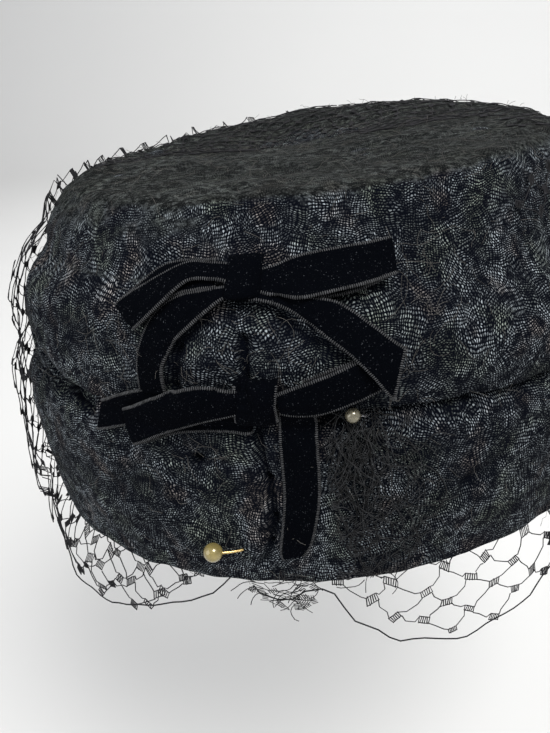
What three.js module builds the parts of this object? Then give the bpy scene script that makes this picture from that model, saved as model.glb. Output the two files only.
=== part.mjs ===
// Pillbox hat with a draped straw crown, a lower band, two ribbon bows, two pins and a net veil.
// Millimetres. +Z is up, the wearer faces -Y and +X is to the right as seen from the front.
// The origin is the middle of the head opening, level with the lower edge of the band.
import * as THREE from 'three';

// Driving dimensions
const straw = 2.0;
const ribbonWidth = 9.6;
const tailThick = 0.9;
const loopThick = 2.2;
const knotThick = 5.0;
const pearlDiameter = 5.0;
const beadDiameter = 3.7;
const shaftDiameter = 0.8;
const veilThick = 1.0;
const around = 64;
const veilAround = 48;

// Outer shape of the hat. left, right, front and back are how far the wall is from the middle
// at each height up it, and roll and pitch tilt that level across X and along Y.
const bandRows = [
  { up: 0.0, left: 89.2, right: 88.7, front: 89.6, back: 89.6, roll: 0.000, pitch: 0.000 },
  { up: 1.2, left: 89.5, right: 89.3, front: 90.2, back: 90.2, roll: -0.001, pitch: -0.003 },
  { up: 6.3, left: 90.3, right: 90.6, front: 91.5, back: 91.5, roll: -0.005, pitch: -0.014 },
  { up: 14.7, left: 90.9, right: 92.7, front: 93.6, back: 93.6, roll: -0.012, pitch: -0.032 },
  { up: 25.3, left: 91.8, right: 94.4, front: 95.3, back: 95.3, roll: -0.020, pitch: -0.056 },
  { up: 33.7, left: 92.6, right: 95.0, front: 96.0, back: 96.0, roll: -0.026, pitch: -0.074 },
  { up: 37.9, left: 91.7, right: 94.3, front: 95.2, back: 95.2, roll: -0.030, pitch: -0.084 },
  { up: 40.0, left: 89.0, right: 92.6, front: 93.5, back: 93.5, roll: -0.031, pitch: -0.088 },
  { up: 41.0, left: 85.6, right: 90.2, front: 91.1, back: 91.1, roll: -0.032, pitch: -0.091 },
  { up: 44.0, left: 82.8, right: 88.4, front: 89.3, back: 89.3, roll: -0.034, pitch: -0.096 },
  { up: 50.0, left: 81.4, right: 87.6, front: 88.5, back: 88.5, roll: -0.043, pitch: -0.106 },
];

const crownRows = [
  { up: 42.4, left: 87.0, right: 92.3, front: 93.2, back: 93.2, roll: -0.033, pitch: -0.094 },
  { up: 43.1, left: 88.0, right: 93.5, front: 94.4, back: 94.4, roll: -0.034, pitch: -0.095 },
  { up: 45.5, left: 87.6, right: 94.5, front: 95.4, back: 95.4, roll: -0.037, pitch: -0.099 },
  { up: 49.8, left: 86.8, right: 95.2, front: 96.2, back: 96.2, roll: -0.043, pitch: -0.106 },
  { up: 55.5, left: 86.8, right: 94.9, front: 95.8, back: 95.8, roll: -0.051, pitch: -0.116 },
  { up: 61.2, left: 86.2, right: 93.3, front: 94.2, back: 94.2, roll: -0.059, pitch: -0.125 },
  { up: 65.5, left: 84.0, right: 90.4, front: 91.3, back: 91.3, roll: -0.065, pitch: -0.132 },
  { up: 68.4, left: 80.2, right: 87.0, front: 87.9, back: 87.9, roll: -0.068, pitch: -0.137 },
  { up: 71.3, left: 78.2, right: 85.6, front: 86.6, back: 87.4, roll: -0.060, pitch: -0.126 },
  { up: 76.7, left: 77.4, right: 84.3, front: 85.1, back: 88.0, roll: -0.045, pitch: -0.106 },
  { up: 84.5, left: 75.4, right: 82.3, front: 82.9, back: 88.4, roll: -0.023, pitch: -0.077 },
  { up: 91.3, left: 71.6, right: 79.9, front: 80.9, back: 88.0, roll: -0.004, pitch: -0.051 },
  { up: 95.8, left: 67.8, right: 77.8, front: 79.5, back: 87.0, roll: 0.009, pitch: -0.035 },
  { up: 97.9, left: 64.0, right: 75.6, front: 78.1, back: 85.6, roll: 0.015, pitch: -0.026 },
];

const tipRows = [
  { up: 98.7, left: 60.8, right: 72.4, front: 75.0, back: 82.6, roll: 0.015, pitch: -0.026 },
  { up: 98.9, left: 50.0, right: 60.0, front: 62.0, back: 70.0, roll: 0.015, pitch: -0.026 },
  { up: 98.2, left: 36.0, right: 43.0, front: 44.0, back: 51.0, roll: 0.015, pitch: -0.026 },
  { up: 97.2, left: 21.0, right: 25.0, front: 26.0, back: 31.0, roll: 0.015, pitch: -0.026 },
  { up: 96.8, left: 7.0, right: 8.4, front: 9.0, back: 10.0, roll: 0.015, pitch: -0.026 },
];

// Dents and folds of the wall. at is the angle in degrees from the front, positive to +X,
// push is how far the cloth goes out (or in, when negative), wide is in degrees, and slant
// is how many degrees a fold moves round for each millimetre that it rises.
const wallFolds = [
  { up: 56, at: -7.0, push: 2.0, wide: 8.0, tall: 9, slant: 0.0 },
  { up: 56, at: 9.0, push: 2.0, wide: 8.0, tall: 9, slant: 0.0 },
  { up: 53, at: 1.2, push: -2.2, wide: 2.6, tall: 9, slant: -0.05 },
  { up: 57, at: -52.0, push: 1.2, wide: 14.0, tall: 8, slant: 0.4 },
  { up: 52, at: 40.0, push: 1.0, wide: 12.0, tall: 7, slant: -0.5 },
  { up: 54, at: 118.0, push: 1.2, wide: 16.0, tall: 8, slant: 0.3 },
  { up: 55, at: -140.0, push: 1.3, wide: 18.0, tall: 8, slant: -0.4 },
  { up: 83, at: -62.0, push: 0.9, wide: 16.0, tall: 8, slant: 0.3 },
  { up: 82, at: 48.0, push: -1.0, wide: 11.0, tall: 7, slant: 0.6 },
  { up: 84, at: 150.0, push: 1.0, wide: 22.0, tall: 8, slant: 0.0 },
  { up: 31, at: -9.5, push: -2.2, wide: 3.5, tall: 6, slant: 0.0 },
  { up: 24, at: 1.5, push: -0.9, wide: 1.8, tall: 12, slant: 0.05 },
  { up: 22, at: 34.0, push: -1.4, wide: 4.0, tall: 6, slant: -0.2 },
  { up: 20, at: -42.0, push: 1.1, wide: 12.0, tall: 8, slant: 0.3 },
  { up: 22, at: 100.0, push: 1.0, wide: 20.0, tall: 9, slant: 0.0 },
  { up: 22, at: -120.0, push: 1.0, wide: 18.0, tall: 9, slant: 0.2 },
];

// Hollows and ridges of the flat top, in millimetres from the middle.
const tipFolds = [
  { x: -4, y: 26, push: -3.2, wide: 20, deep: 14 },
  { x: 34, y: 2, push: 1.8, wide: 24, deep: 12 },
  { x: -38, y: -14, push: 1.2, wide: 18, deep: 16 },
  { x: 20, y: 58, push: 2.0, wide: 34, deep: 12 },
  { x: 8, y: -46, push: -1.4, wide: 28, deep: 12 },
  { x: -54, y: 30, push: -3.6, wide: 34, deep: 34 },
  { x: -2, y: 72, push: 1.2, wide: 26, deep: 16 },
];

function bump(distance) {
  const t = Math.min(Math.abs(distance), 1);
  return (1 - t * t) ** 2;
}

function wallPush(up, angle) {
  let push = 0;
  for (const fold of wallFolds) {
    const centre = fold.at + fold.slant * (up - fold.up);
    const turn = ((THREE.MathUtils.radToDeg(angle) - centre + 540) % 360) - 180;
    push += fold.push * bump(turn / (2 * fold.wide)) * bump((up - fold.up) / (1.4 * fold.tall));
  }
  return push;
}

function tipPush(x, y) {
  let push = 0;
  for (const fold of tipFolds) {
    const away = Math.hypot((x - fold.x) / fold.wide, (y - fold.y) / fold.deep);
    push += fold.push * bump(away / 1.8);
  }
  return push;
}

// One point on a level: angle is in radians from the front, out moves it away from the wall.
function onLevel(row, angle, out, lift) {
  const [sine, cosine] = [Math.sin(angle), Math.cos(angle)];
  const x = ((sine < 0 ? row.left : row.right) + out) * sine;
  const y = -((cosine > 0 ? row.front : row.back) + out) * cosine;
  return new THREE.Vector3(x, y, row.up + lift + row.roll * x + row.pitch * y);
}

function ringOf(row, count, out, lift, push) {
  const ring = [];
  for (let i = 0; i < count; i += 1) {
    const angle = (2 * Math.PI * i) / count;
    ring.push(onLevel(row, angle, out + (push ? push(row.up, angle) : 0), lift));
  }
  return ring;
}

// Joins rings of points into one closed skin. The ends are closed by a fan, or the last
// ring joins the first.
function skin(rings, ends) {
  const count = rings[0].length;
  const points = rings.flat();
  const faces = [];
  const bands = ends === 'joined' ? rings.length : rings.length - 1;
  for (let r = 0; r < bands; r += 1) {
    const here = r * count;
    const next = ((r + 1) % rings.length) * count;
    for (let i = 0; i < count; i += 1) {
      const j = (i + 1) % count;
      faces.push([here + i, here + j, next + j], [here + i, next + j, next + i]);
    }
  }
  if (ends !== 'joined') {
    for (const [ring, flip] of [[0, true], [rings.length - 1, false]]) {
      const middle = new THREE.Vector3();
      for (const point of rings[ring]) {
        middle.addScaledVector(point, 1 / count);
      }
      points.push(middle);
      for (let i = 0; i < count; i += 1) {
        const a = ring * count + i;
        const b = ring * count + ((i + 1) % count);
        faces.push(flip ? [b, a, points.length - 1] : [a, b, points.length - 1]);
      }
    }
  }
  return solid(points, faces);
}

// Makes a geometry from points and triangles, and turns it to face out.
function solid(points, faces) {
  let volume = 0;
  for (const [a, b, c] of faces) {
    volume += points[a].dot(new THREE.Vector3().crossVectors(points[b], points[c])) / 6;
  }
  const index = faces.flatMap(([a, b, c]) => (volume > 0 ? [a, b, c] : [a, c, b]));
  const geometry = new THREE.BufferGeometry();
  geometry.setAttribute(
    'position',
    new THREE.Float32BufferAttribute(points.flatMap((point) => point.toArray()), 3),
  );
  geometry.setIndex(index);
  geometry.computeVertexNormals();
  return geometry;
}

// Levels that the inside of the wall follows
const insideCrown = [1, 3, 5, 6, 7, 9, 11, 13];
const insideBand = [0, 3, 5, 7, 8, 9, 10];

// Crown: outer wall and top, turned under at its lower edge, then back up the inside.
function crown() {
  const rings = [];
  const shown = [...tipRows].reverse();
  for (const row of shown) {
    rings.push(ringOf(row, around, 0, 0).map((p) => p.setZ(p.z + tipPush(p.x, p.y))));
  }
  for (const row of [...crownRows].reverse()) {
    rings.push(ringOf(row, around, 0, 0, wallPush));
  }
  for (const row of crownRows.filter((_, i) => insideCrown.includes(i))) {
    const thick = row.up > 90 ? straw * 1.15 : straw;
    rings.push(ringOf(row, around, -thick, row.up > 90 ? -straw * 0.8 : 0, wallPush));
  }
  for (const row of [tipRows[0], tipRows[2], tipRows[4]]) {
    rings.push(ringOf(row, around, 0, -straw).map((p) => p.setZ(p.z + tipPush(p.x, p.y))));
  }
  return skin(rings, 'fanned');
}

// Band: its top edge is tucked up inside the crown, and its hem is folded at the rim.
function band() {
  const rings = [];
  for (const row of bandRows) {
    rings.push(ringOf(row, around, 0, 0, wallPush));
  }
  for (const row of bandRows.filter((_, i) => insideBand.includes(i)).reverse()) {
    const out = row.up < 1 ? -straw - 1.2 : -straw;
    rings.push(ringOf(row, around, out, 0, wallPush));
  }
  return skin(rings, 'joined');
}

function between(rows, up, key) {
  const last = rows[rows.length - 1];
  if (up <= rows[0].up) {
    return rows[0][key];
  }
  for (let i = 1; i < rows.length; i += 1) {
    if (up <= rows[i].up) {
      const t = (up - rows[i - 1].up) / (rows[i].up - rows[i - 1].up);
      return THREE.MathUtils.lerp(rows[i - 1][key], rows[i][key], t);
    }
  }
  return last[key];
}

// The wall as a ribbon meets it: band below the groove and crown above it.
const wallRows = [...bandRows.slice(0, 7), ...crownRows];

function levelAt(up) {
  const level = { up };
  for (const key of ['left', 'right', 'front', 'back', 'roll', 'pitch']) {
    level[key] = between(wallRows, up, key);
  }
  return level;
}

// Point in front of the wall at x to the side and z up, lifted off the cloth.
function inFront(x, z, lift) {
  let up = z;
  let point = new THREE.Vector3();
  for (let pass = 0; pass < 12; pass += 1) {
    const level = levelAt(up);
    const out = lift + wallPush(up, Math.asin(THREE.MathUtils.clamp(x / 95, -1, 1)));
    const reach = (x < 0 ? level.left : level.right) + out;
    const side = THREE.MathUtils.clamp(x / reach, -0.98, 0.98);
    point = onLevel(level, Math.asin(side), out, 0);
    up += z - point.z;
  }
  return point.setZ(z);
}

// Ribbon laid on the front. Each row is a place along it: x and z of its middle line as seen
// from the front, lift off the cloth, turn of its width in degrees from +X towards +Z, lean
// of its width towards the viewer, and how wide it is there as a share of its full width.
function ribbon(rows, thick) {
  const steps = 3 * (rows.length - 1);
  const rings = [];
  for (let i = 0; i <= steps; i += 1) {
    const t = (i / steps) * (rows.length - 1);
    const k = Math.min(Math.floor(t), rows.length - 2);
    const pick = (key) => smooth(rows, k, t - k, key);
    const turn = THREE.MathUtils.degToRad(pick('turn'));
    const lean = THREE.MathUtils.degToRad(pick('lean'));
    const half = (ribbonWidth * pick('share')) / 2;
    const middle = inFront(pick('x'), pick('z'), pick('lift'));
    const edges = [-1, 1].map((side) => {
      const reach = side * half * Math.cos(lean);
      const x = middle.x + reach * Math.cos(turn);
      const z = middle.z + reach * Math.sin(turn);
      return inFront(x, z, pick('lift') + side * half * Math.sin(lean));
    });
    const across = new THREE.Vector3().subVectors(edges[1], edges[0]).normalize();
    const outward = new THREE.Vector3(middle.x, middle.y, 0).normalize();
    outward.addScaledVector(across, -outward.dot(across)).normalize();
    const back = outward.clone().multiplyScalar(-thick / 2);
    const front = outward.clone().multiplyScalar(thick / 2);
    rings.push([
      edges[0].clone().add(back),
      edges[1].clone().add(back),
      edges[1].clone().add(front),
      edges[0].clone().add(front),
    ]);
  }
  return skin(rings, 'fanned');
}

function smooth(rows, k, t, key) {
  const at = (i) => rows[Math.min(Math.max(i, 0), rows.length - 1)][key];
  const [a, b, c, d] = [at(k - 1), at(k), at(k + 1), at(k + 2)];
  const bend = 2 * a - 5 * b + 4 * c - d;
  return b + 0.5 * t * (c - a + t * (bend + t * (3 * (b - c) + d - a)));
}

const upperRightLoop = [
  { x: 8.0, z: 83.0, lift: 3.0, turn: 92, lean: 0, share: 0.70 },
  { x: 13.0, z: 83.6, lift: 3.2, turn: 94, lean: 0, share: 0.85 },
  { x: 22.5, z: 84.2, lift: 3.2, turn: 96, lean: 0, share: 0.90 },
  { x: 34.3, z: 84.8, lift: 2.6, turn: 98, lean: 0, share: 0.88 },
];
const upperLeftLoop = [
  { x: -3.8, z: 84.6, lift: 3.0, turn: 90, lean: 0, share: 0.55 },
  { x: -9.0, z: 84.4, lift: 3.2, turn: 86, lean: 0, share: 0.75 },
  { x: -18.0, z: 81.3, lift: 3.4, turn: 78, lean: 0, share: 0.85 },
  { x: -29.0, z: 76.8, lift: 3.4, turn: 62, lean: 0, share: 0.62 },
];
const upperLeftTail = [
  { x: -5.0, z: 78.8, lift: 1.6, turn: -24, lean: 0, share: 0.35 },
  { x: -10.0, z: 76.2, lift: 1.6, turn: -30, lean: 0, share: 0.50 },
  { x: -15.6, z: 71.8, lift: 1.3, turn: -22, lean: 0, share: 0.52 },
  { x: -20.2, z: 66.0, lift: 1.3, turn: -8, lean: 0, share: 0.52 },
  { x: -23.8, z: 62.0, lift: 0.8, turn: 0, lean: 0, share: 0.58 },
];
const upperRightTail = [
  { x: 9.6, z: 77.2, lift: 2.2, turn: 25, lean: 0, share: 0.60 },
  { x: 17.4, z: 74.4, lift: 1.8, turn: 38, lean: 0, share: 0.90 },
  { x: 25.4, z: 69.8, lift: 4.0, turn: 44, lean: 0, share: 0.95 },
  { x: 34.8, z: 60.6, lift: 6.6, turn: 50, lean: 0, share: 0.92 },
];
const lowerLeftLoop = [
  { x: -3.4, z: 56.8, lift: 3.4, turn: 92, lean: 0, share: 0.70 },
  { x: -9.4, z: 56.8, lift: 3.8, turn: 92, lean: 0, share: 1.00 },
  { x: -18.8, z: 53.2, lift: 3.8, turn: 88, lean: 0, share: 1.05 },
  { x: -30.0, z: 48.0, lift: 3.6, turn: 84, lean: 0, share: 0.85 },
];
const lowerLeftTail = [
  { x: -28.6, z: 55.4, lift: 1.3, turn: 80, lean: 0, share: 0.66 },
  { x: -33.4, z: 51.8, lift: 1.2, turn: 84, lean: 0, share: 0.86 },
  { x: -41.6, z: 48.0, lift: 1.2, turn: 90, lean: 0, share: 0.90 },
];
const lowerRightLoop = [
  { x: 11.2, z: 55.8, lift: 3.6, turn: 100, lean: 0, share: 0.76 },
  { x: 16.4, z: 57.6, lift: 3.8, turn: 108, lean: 0, share: 0.98 },
  { x: 27.6, z: 60.6, lift: 2.8, turn: 116, lean: 0, share: 0.90 },
];
const lowerTail = [
  { x: 11.0, z: 49.6, lift: 1.6, turn: 4, lean: 0, share: 0.88 },
  { x: 11.2, z: 44.0, lift: 1.3, turn: 2, lean: 0, share: 0.95 },
  { x: 11.0, z: 35.0, lift: 0.9, turn: 0, lean: 0, share: 0.97 },
  { x: 10.0, z: 25.0, lift: 0.9, turn: 2, lean: 0, share: 0.95 },
  { x: 7.0, z: 13.0, lift: 0.9, turn: 10, lean: 0, share: 0.90 },
];

// Knot: a rounded pad that wraps across the middle of a bow.
function knot(x, z, wide, tall, lift) {
  const rings = [];
  const sides = 12;
  const steps = 6;
  for (let i = 0; i <= steps; i += 1) {
    const s = -1 + (2 * i) / steps;
    const swell = Math.sqrt(1 - 0.55 * s * s);
    const ring = [];
    for (let k = 0; k < sides; k += 1) {
      const turn = (2 * Math.PI * k) / sides;
      const flat = Math.sign(Math.cos(turn)) * Math.abs(Math.cos(turn)) ** 0.6;
      const deep = Math.sign(Math.sin(turn)) * Math.abs(Math.sin(turn)) ** 0.6;
      const middle = inFront(x, z + (s * tall) / 2, lift);
      middle.x += (flat * wide * swell) / 2;
      middle.y -= (deep * knotThick * swell) / 2;
      ring.push(middle);
    }
    rings.push(ring);
  }
  return skin(rings, 'fanned');
}

function ball(diameter, x, z, lift) {
  const place = inFront(x, z, lift);
  const geometry = new THREE.SphereGeometry(diameter / 2, 18, 12);
  return geometry.translate(place.x, place.y, place.z);
}

// Shaft between two places in front of the wall, kept just clear of what it meets.
function shaft(start, end) {
  const a = inFront(start.x, start.z, start.lift);
  const b = inFront(end.x, end.z, end.lift);
  const along = new THREE.Vector3().subVectors(b, a);
  const geometry = new THREE.CylinderGeometry(shaftDiameter / 2, shaftDiameter / 2, along.length(), 8);
  const up = new THREE.Vector3(0, 1, 0);
  geometry.applyQuaternion(new THREE.Quaternion().setFromUnitVectors(up, along.clone().normalize()));
  const middle = a.add(b).multiplyScalar(0.5);
  return geometry.translate(middle.x, middle.y, middle.z);
}

// Veil: a thin skin of the net's outer form. It covers the top, the back and the sides, is
// open over the bows, and its hem hangs below the rim by drop at each angle from the front.
const veilRows = [
  { up: 0.4, left: 92.6, right: 91.8, front: 92.7, back: 92.7, roll: 0.000, pitch: 0.000 },
  { up: 14.7, left: 94.8, right: 96.4, front: 97.3, back: 97.3, roll: -0.012, pitch: -0.032 },
  { up: 30.0, left: 96.4, right: 98.8, front: 99.7, back: 99.7, roll: -0.024, pitch: -0.068 },
  { up: 48.0, left: 93.6, right: 99.0, front: 100.0, back: 100.0, roll: -0.042, pitch: -0.104 },
  { up: 62.0, left: 90.6, right: 97.4, front: 98.3, back: 98.3, roll: -0.060, pitch: -0.126 },
  { up: 78.0, left: 82.6, right: 88.8, front: 89.8, back: 92.6, roll: -0.042, pitch: -0.102 },
  { up: 92.0, left: 75.6, right: 83.8, front: 84.8, back: 92.0, roll: -0.003, pitch: -0.050 },
  { up: 99.4, left: 68.6, right: 79.6, front: 81.6, back: 88.6, roll: 0.015, pitch: -0.026 },
  { up: 102.6, left: 59.0, right: 71.0, front: 73.0, back: 80.0, roll: 0.015, pitch: -0.026 },
  { up: 103.6, left: 46.0, right: 54.0, front: 56.0, back: 63.0, roll: 0.015, pitch: -0.026 },
  { up: 103.6, left: 22.0, right: 26.0, front: 27.0, back: 31.0, roll: 0.015, pitch: -0.026 },
  { up: 103.4, left: 7.0, right: 8.0, front: 9.0, back: 10.0, roll: 0.015, pitch: -0.026 },
];
const hem = [
  { at: -180, drop: 11 },
  { at: -100, drop: 11 },
  { at: -60, drop: 9 },
  { at: -30, drop: 7 },
  { at: -8, drop: 4 },
  { at: 8, drop: 5 },
  { at: 24, drop: 15 },
  { at: 40, drop: 19 },
  { at: 70, drop: 15 },
  { at: 110, drop: 12 },
  { at: 180, drop: 11 },
];
const windowLeft = -52;
const windowRight = 52;
const windowTop = 9;

function hemDrop(angle) {
  const degrees = ((THREE.MathUtils.radToDeg(angle) + 540) % 360) - 180;
  for (let i = 1; i < hem.length; i += 1) {
    if (degrees <= hem[i].at) {
      const t = (degrees - hem[i - 1].at) / (hem[i].at - hem[i - 1].at);
      return THREE.MathUtils.lerp(hem[i - 1].drop, hem[i].drop, t);
    }
  }
  return hem[hem.length - 1].drop;
}

function veil() {
  const levels = [{ hang: 1 }, { hang: 0.45 }, ...veilRows];
  const first = veilRows[0];
  const points = [];
  for (const out of [0, -veilThick]) {
    for (const level of levels) {
      for (let i = 0; i < veilAround; i += 1) {
        const angle = (2 * Math.PI * i) / veilAround;
        if (level.hang) {
          const row = { ...first, up: first.up - level.hang * hemDrop(angle) };
          points.push(onLevel(row, angle, out + 1.5 * level.hang, 0));
        } else {
          const onTop = level.up > 99;
          points.push(onLevel(level, angle, onTop ? 0.4 * out : out, onTop ? out : 0));
        }
      }
    }
  }
  const step = 360 / veilAround;
  const shown = (r, i) => {
    const angle = ((i + 0.5) * step + 180) % 360 - 180;
    const inWindow = angle > windowLeft && angle < windowRight;
    return r >= 0 && r < levels.length - 1 && !(inWindow && r >= 2 && r < windowTop);
  };
  const inner = levels.length * veilAround;
  const faces = [];
  for (let r = 0; r < levels.length - 1; r += 1) {
    for (let i = 0; i < veilAround; i += 1) {
      if (!shown(r, i)) {
        continue;
      }
      const j = (i + 1) % veilAround;
      const [a, b] = [r * veilAround + i, r * veilAround + j];
      const [c, d] = [b + veilAround, a + veilAround];
      faces.push([a, b, c], [a, c, d]);
      faces.push([a + inner, c + inner, b + inner], [a + inner, d + inner, c + inner]);
      const sides = [
        [a, b, shown(r - 1, i)],
        [c, d, r === levels.length - 2 || shown(r + 1, i)],
        [b, c, shown(r, j)],
        [d, a, shown(r, (i + veilAround - 1) % veilAround)],
      ];
      for (const [from, to, closed] of sides) {
        if (!closed) {
          faces.push([to, from, from + inner], [to, from + inner, to + inner]);
        }
      }
    }
  }
  for (const side of [0, 1]) {
    const start = side * inner + (levels.length - 1) * veilAround;
    const middle = new THREE.Vector3();
    for (let i = 0; i < veilAround; i += 1) {
      middle.addScaledVector(points[start + i], 1 / veilAround);
    }
    points.push(middle);
    for (let i = 0; i < veilAround; i += 1) {
      const j = (i + 1) % veilAround;
      const fan = [start + i, start + j, points.length - 1];
      faces.push(side === 0 ? fan : fan.reverse());
    }
  }
  return solid(points, faces);
}

const group = new THREE.Group();
group.name = 'pillbox_hat';

function add(name, geometry, colour, roughness, metalness = 0) {
  const material = new THREE.MeshStandardMaterial({ color: colour, roughness, metalness });
  const mesh = new THREE.Mesh(geometry, material);
  mesh.name = name;
  group.add(mesh);
}

add('crown', crown(), 0x1c1d22, 0.85);
add('band', band(), 0x1e1f24, 0.85);
add('upper_bow_right_loop', ribbon(upperRightLoop, loopThick), 0x0b0b0f, 0.9);
add('upper_bow_left_loop', ribbon(upperLeftLoop, loopThick), 0x0c0c10, 0.9);
add('upper_bow_knot', knot(2.0, 84.2, 9.4, 10.6, 3.4), 0x0d0d11, 0.9);
add('upper_bow_left_tail', ribbon(upperLeftTail, tailThick), 0x0b0b0f, 0.9);
add('upper_bow_right_tail', ribbon(upperRightTail, tailThick), 0x0c0c10, 0.9);
add('lower_bow_left_loop', ribbon(lowerLeftLoop, loopThick), 0x0b0b0f, 0.9);
add('lower_bow_right_loop', ribbon(lowerRightLoop, loopThick), 0x0c0c10, 0.9);
add('lower_bow_knot', knot(3.4, 56.2, 10.6, 13.0, 3.6), 0x0d0d11, 0.9);
add('lower_bow_left_tail', ribbon(lowerLeftTail, tailThick), 0x0b0b0f, 0.9);
add('lower_bow_long_tail', ribbon(lowerTail, tailThick), 0x0c0c10, 0.9);
add('pearl_pin_head', ball(pearlDiameter, -14.2, 12.9, 3.2), 0xe8d9a8, 0.3);
add(
  'pearl_pin_shaft',
  shaft({ x: -11.2, z: 12.6, lift: 2.4 }, { x: -6.6, z: 12.2, lift: 1.1 }),
  0xb89a52,
  0.35,
  1,
);
add('bead_pin_head', ball(beadDiameter, 24.4, 50.6, 3.0), 0x9a9ca0, 0.3, 1);
add(
  'bead_pin_shaft',
  shaft({ x: 26.6, z: 49.4, lift: 2.2 }, { x: 31.0, z: 46.8, lift: 1.2 }),
  0x8f9094,
  0.35,
  1,
);
add('veil', veil(), 0x141418, 0.9);

export default group;
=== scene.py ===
"""Draped straw pillbox hat with two velvet ribbon bows, two pins and a net veil.

Metres, +Z up, the front of the hat faces -Y and +X is to the right as seen from the front.
"""
import math
import random

import bmesh
import bpy
from bpy.props import FloatProperty, FloatVectorProperty, IntProperty, PointerProperty
from mathutils import Matrix, Vector, noise
from mathutils.bvhtree import BVHTree


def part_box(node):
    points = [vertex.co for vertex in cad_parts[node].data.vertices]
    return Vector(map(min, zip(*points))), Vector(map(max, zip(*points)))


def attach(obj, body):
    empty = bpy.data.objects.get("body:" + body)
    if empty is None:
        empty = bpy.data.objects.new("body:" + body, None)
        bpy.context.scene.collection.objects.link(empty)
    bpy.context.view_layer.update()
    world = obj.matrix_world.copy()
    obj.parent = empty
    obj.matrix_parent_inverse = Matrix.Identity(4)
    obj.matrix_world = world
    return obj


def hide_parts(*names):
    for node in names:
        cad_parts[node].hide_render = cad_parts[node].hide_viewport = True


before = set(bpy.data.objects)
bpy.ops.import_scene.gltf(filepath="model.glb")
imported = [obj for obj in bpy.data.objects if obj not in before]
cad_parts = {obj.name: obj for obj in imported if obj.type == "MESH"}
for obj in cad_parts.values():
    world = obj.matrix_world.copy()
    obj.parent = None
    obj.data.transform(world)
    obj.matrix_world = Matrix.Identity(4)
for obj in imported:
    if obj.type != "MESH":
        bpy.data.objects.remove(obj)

bl_info = {
    "name": "Pillbox Hat",
    "version": (1, 0, 0),
    "blender": (4, 5, 0),
    "location": "3D View > Sidebar > Hat",
    "description": "Makes a straw pillbox hat with ribbon bows, pins and a net veil",
    "category": "Add Mesh",
}

MM = 0.001
SHAFT_RADIUS = 0.00036
FIBRE_RADIUS = 0.00006
LINT_RADIUS = 0.000055


# Settings


class ClothSettings(bpy.types.PropertyGroup):
    """The draped straw cloth."""

    dash_length: FloatProperty(
        name="Dash length", description="Length of one straw stitch in millimetres",
        default=0.84, min=0.2, max=5.0)
    row_height: FloatProperty(
        name="Row height", description="Height of one row of stitches in millimetres",
        default=0.56, min=0.2, max=5.0)
    patch: FloatProperty(
        name="Patch", description="Size of a patch of stitches that run one way, in millimetres",
        default=5.8, min=1.0, max=30.0)
    wave: FloatProperty(
        name="Wave", description="Height of the soft unevenness of the cloth",
        default=0.0005, min=0.0, max=0.004, unit="LENGTH")
    ground: FloatVectorProperty(
        name="Ground", description="Colour between the stitches", subtype="COLOR",
        size=3, default=(0.0007, 0.0013, 0.0036), min=0.0, max=1.0)
    stitch: FloatVectorProperty(
        name="Stitch", description="Colour of the stitches", subtype="COLOR",
        size=3, default=(0.35, 0.395, 0.43), min=0.0, max=1.0)
    top_tone: FloatVectorProperty(
        name="Top tone", description="Dusty colour of the stitches on the top", subtype="COLOR",
        size=3, default=(0.088, 0.095, 0.085), min=0.0, max=1.0)


class RibbonSettings(bpy.types.PropertyGroup):
    """The velvet ribbon of both bows."""

    width: FloatProperty(
        name="Width", description="Full width of the ribbon",
        default=0.0096, min=0.002, max=0.05, unit="LENGTH")
    thickness: FloatProperty(
        name="Thickness", description="Thickness of the ribbon",
        default=0.0006, min=0.0002, max=0.003, unit="LENGTH")
    edge_radius: FloatProperty(
        name="Edge cord", description="Radius of the ribbed cord along each edge",
        default=0.00044, min=0.0001, max=0.002, unit="LENGTH")
    rib_pitch: FloatProperty(
        name="Rib pitch", description="Distance between two ribs of the edge cord",
        default=0.00052, min=0.0002, max=0.003, unit="LENGTH")
    pile: FloatVectorProperty(
        name="Pile", description="Colour of the velvet pile", subtype="COLOR",
        size=3, default=(0.0010, 0.0013, 0.0022), min=0.0, max=1.0)
    edge: FloatVectorProperty(
        name="Edge", description="Colour of the edge cord", subtype="COLOR",
        size=3, default=(0.042, 0.043, 0.045), min=0.0, max=1.0)


class VeilSettings(bpy.types.PropertyGroup):
    """The net veil and the loose fibres."""

    cell_wide: FloatProperty(
        name="Cell width", description="Width of one cell of the net",
        default=0.0145, min=0.003, max=0.04, unit="LENGTH")
    cell_tall: FloatProperty(
        name="Cell height", description="Height of one cell of the net",
        default=0.0094, min=0.003, max=0.04, unit="LENGTH")
    thread: FloatProperty(
        name="Thread", description="Radius of a net thread",
        default=0.00016, min=0.00003, max=0.001, unit="LENGTH")
    cord: FloatProperty(
        name="Edge thread", description="Radius of the thread along the net's hem",
        default=0.00021, min=0.00005, max=0.002, unit="LENGTH")
    seed: IntProperty(name="Seed", description="Seed of the net's unevenness", default=11)
    black: FloatVectorProperty(
        name="Net colour", description="Colour of the net thread", subtype="COLOR",
        size=3, default=(0.012, 0.012, 0.014), min=0.0, max=1.0)
    fibre: FloatVectorProperty(
        name="Fibre colour", description="Colour of the loose straw fibres", subtype="COLOR",
        size=3, default=(0.070, 0.067, 0.062), min=0.0, max=1.0)


class PinSettings(bpy.types.PropertyGroup):
    """The two pins."""

    pearl: FloatVectorProperty(
        name="Pearl", description="Colour of the pearl", subtype="COLOR",
        size=3, default=(0.27, 0.215, 0.075), min=0.0, max=1.0)
    bead: FloatVectorProperty(
        name="Bead", description="Colour of the small bead", subtype="COLOR",
        size=3, default=(0.22, 0.20, 0.14), min=0.0, max=1.0)


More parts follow.
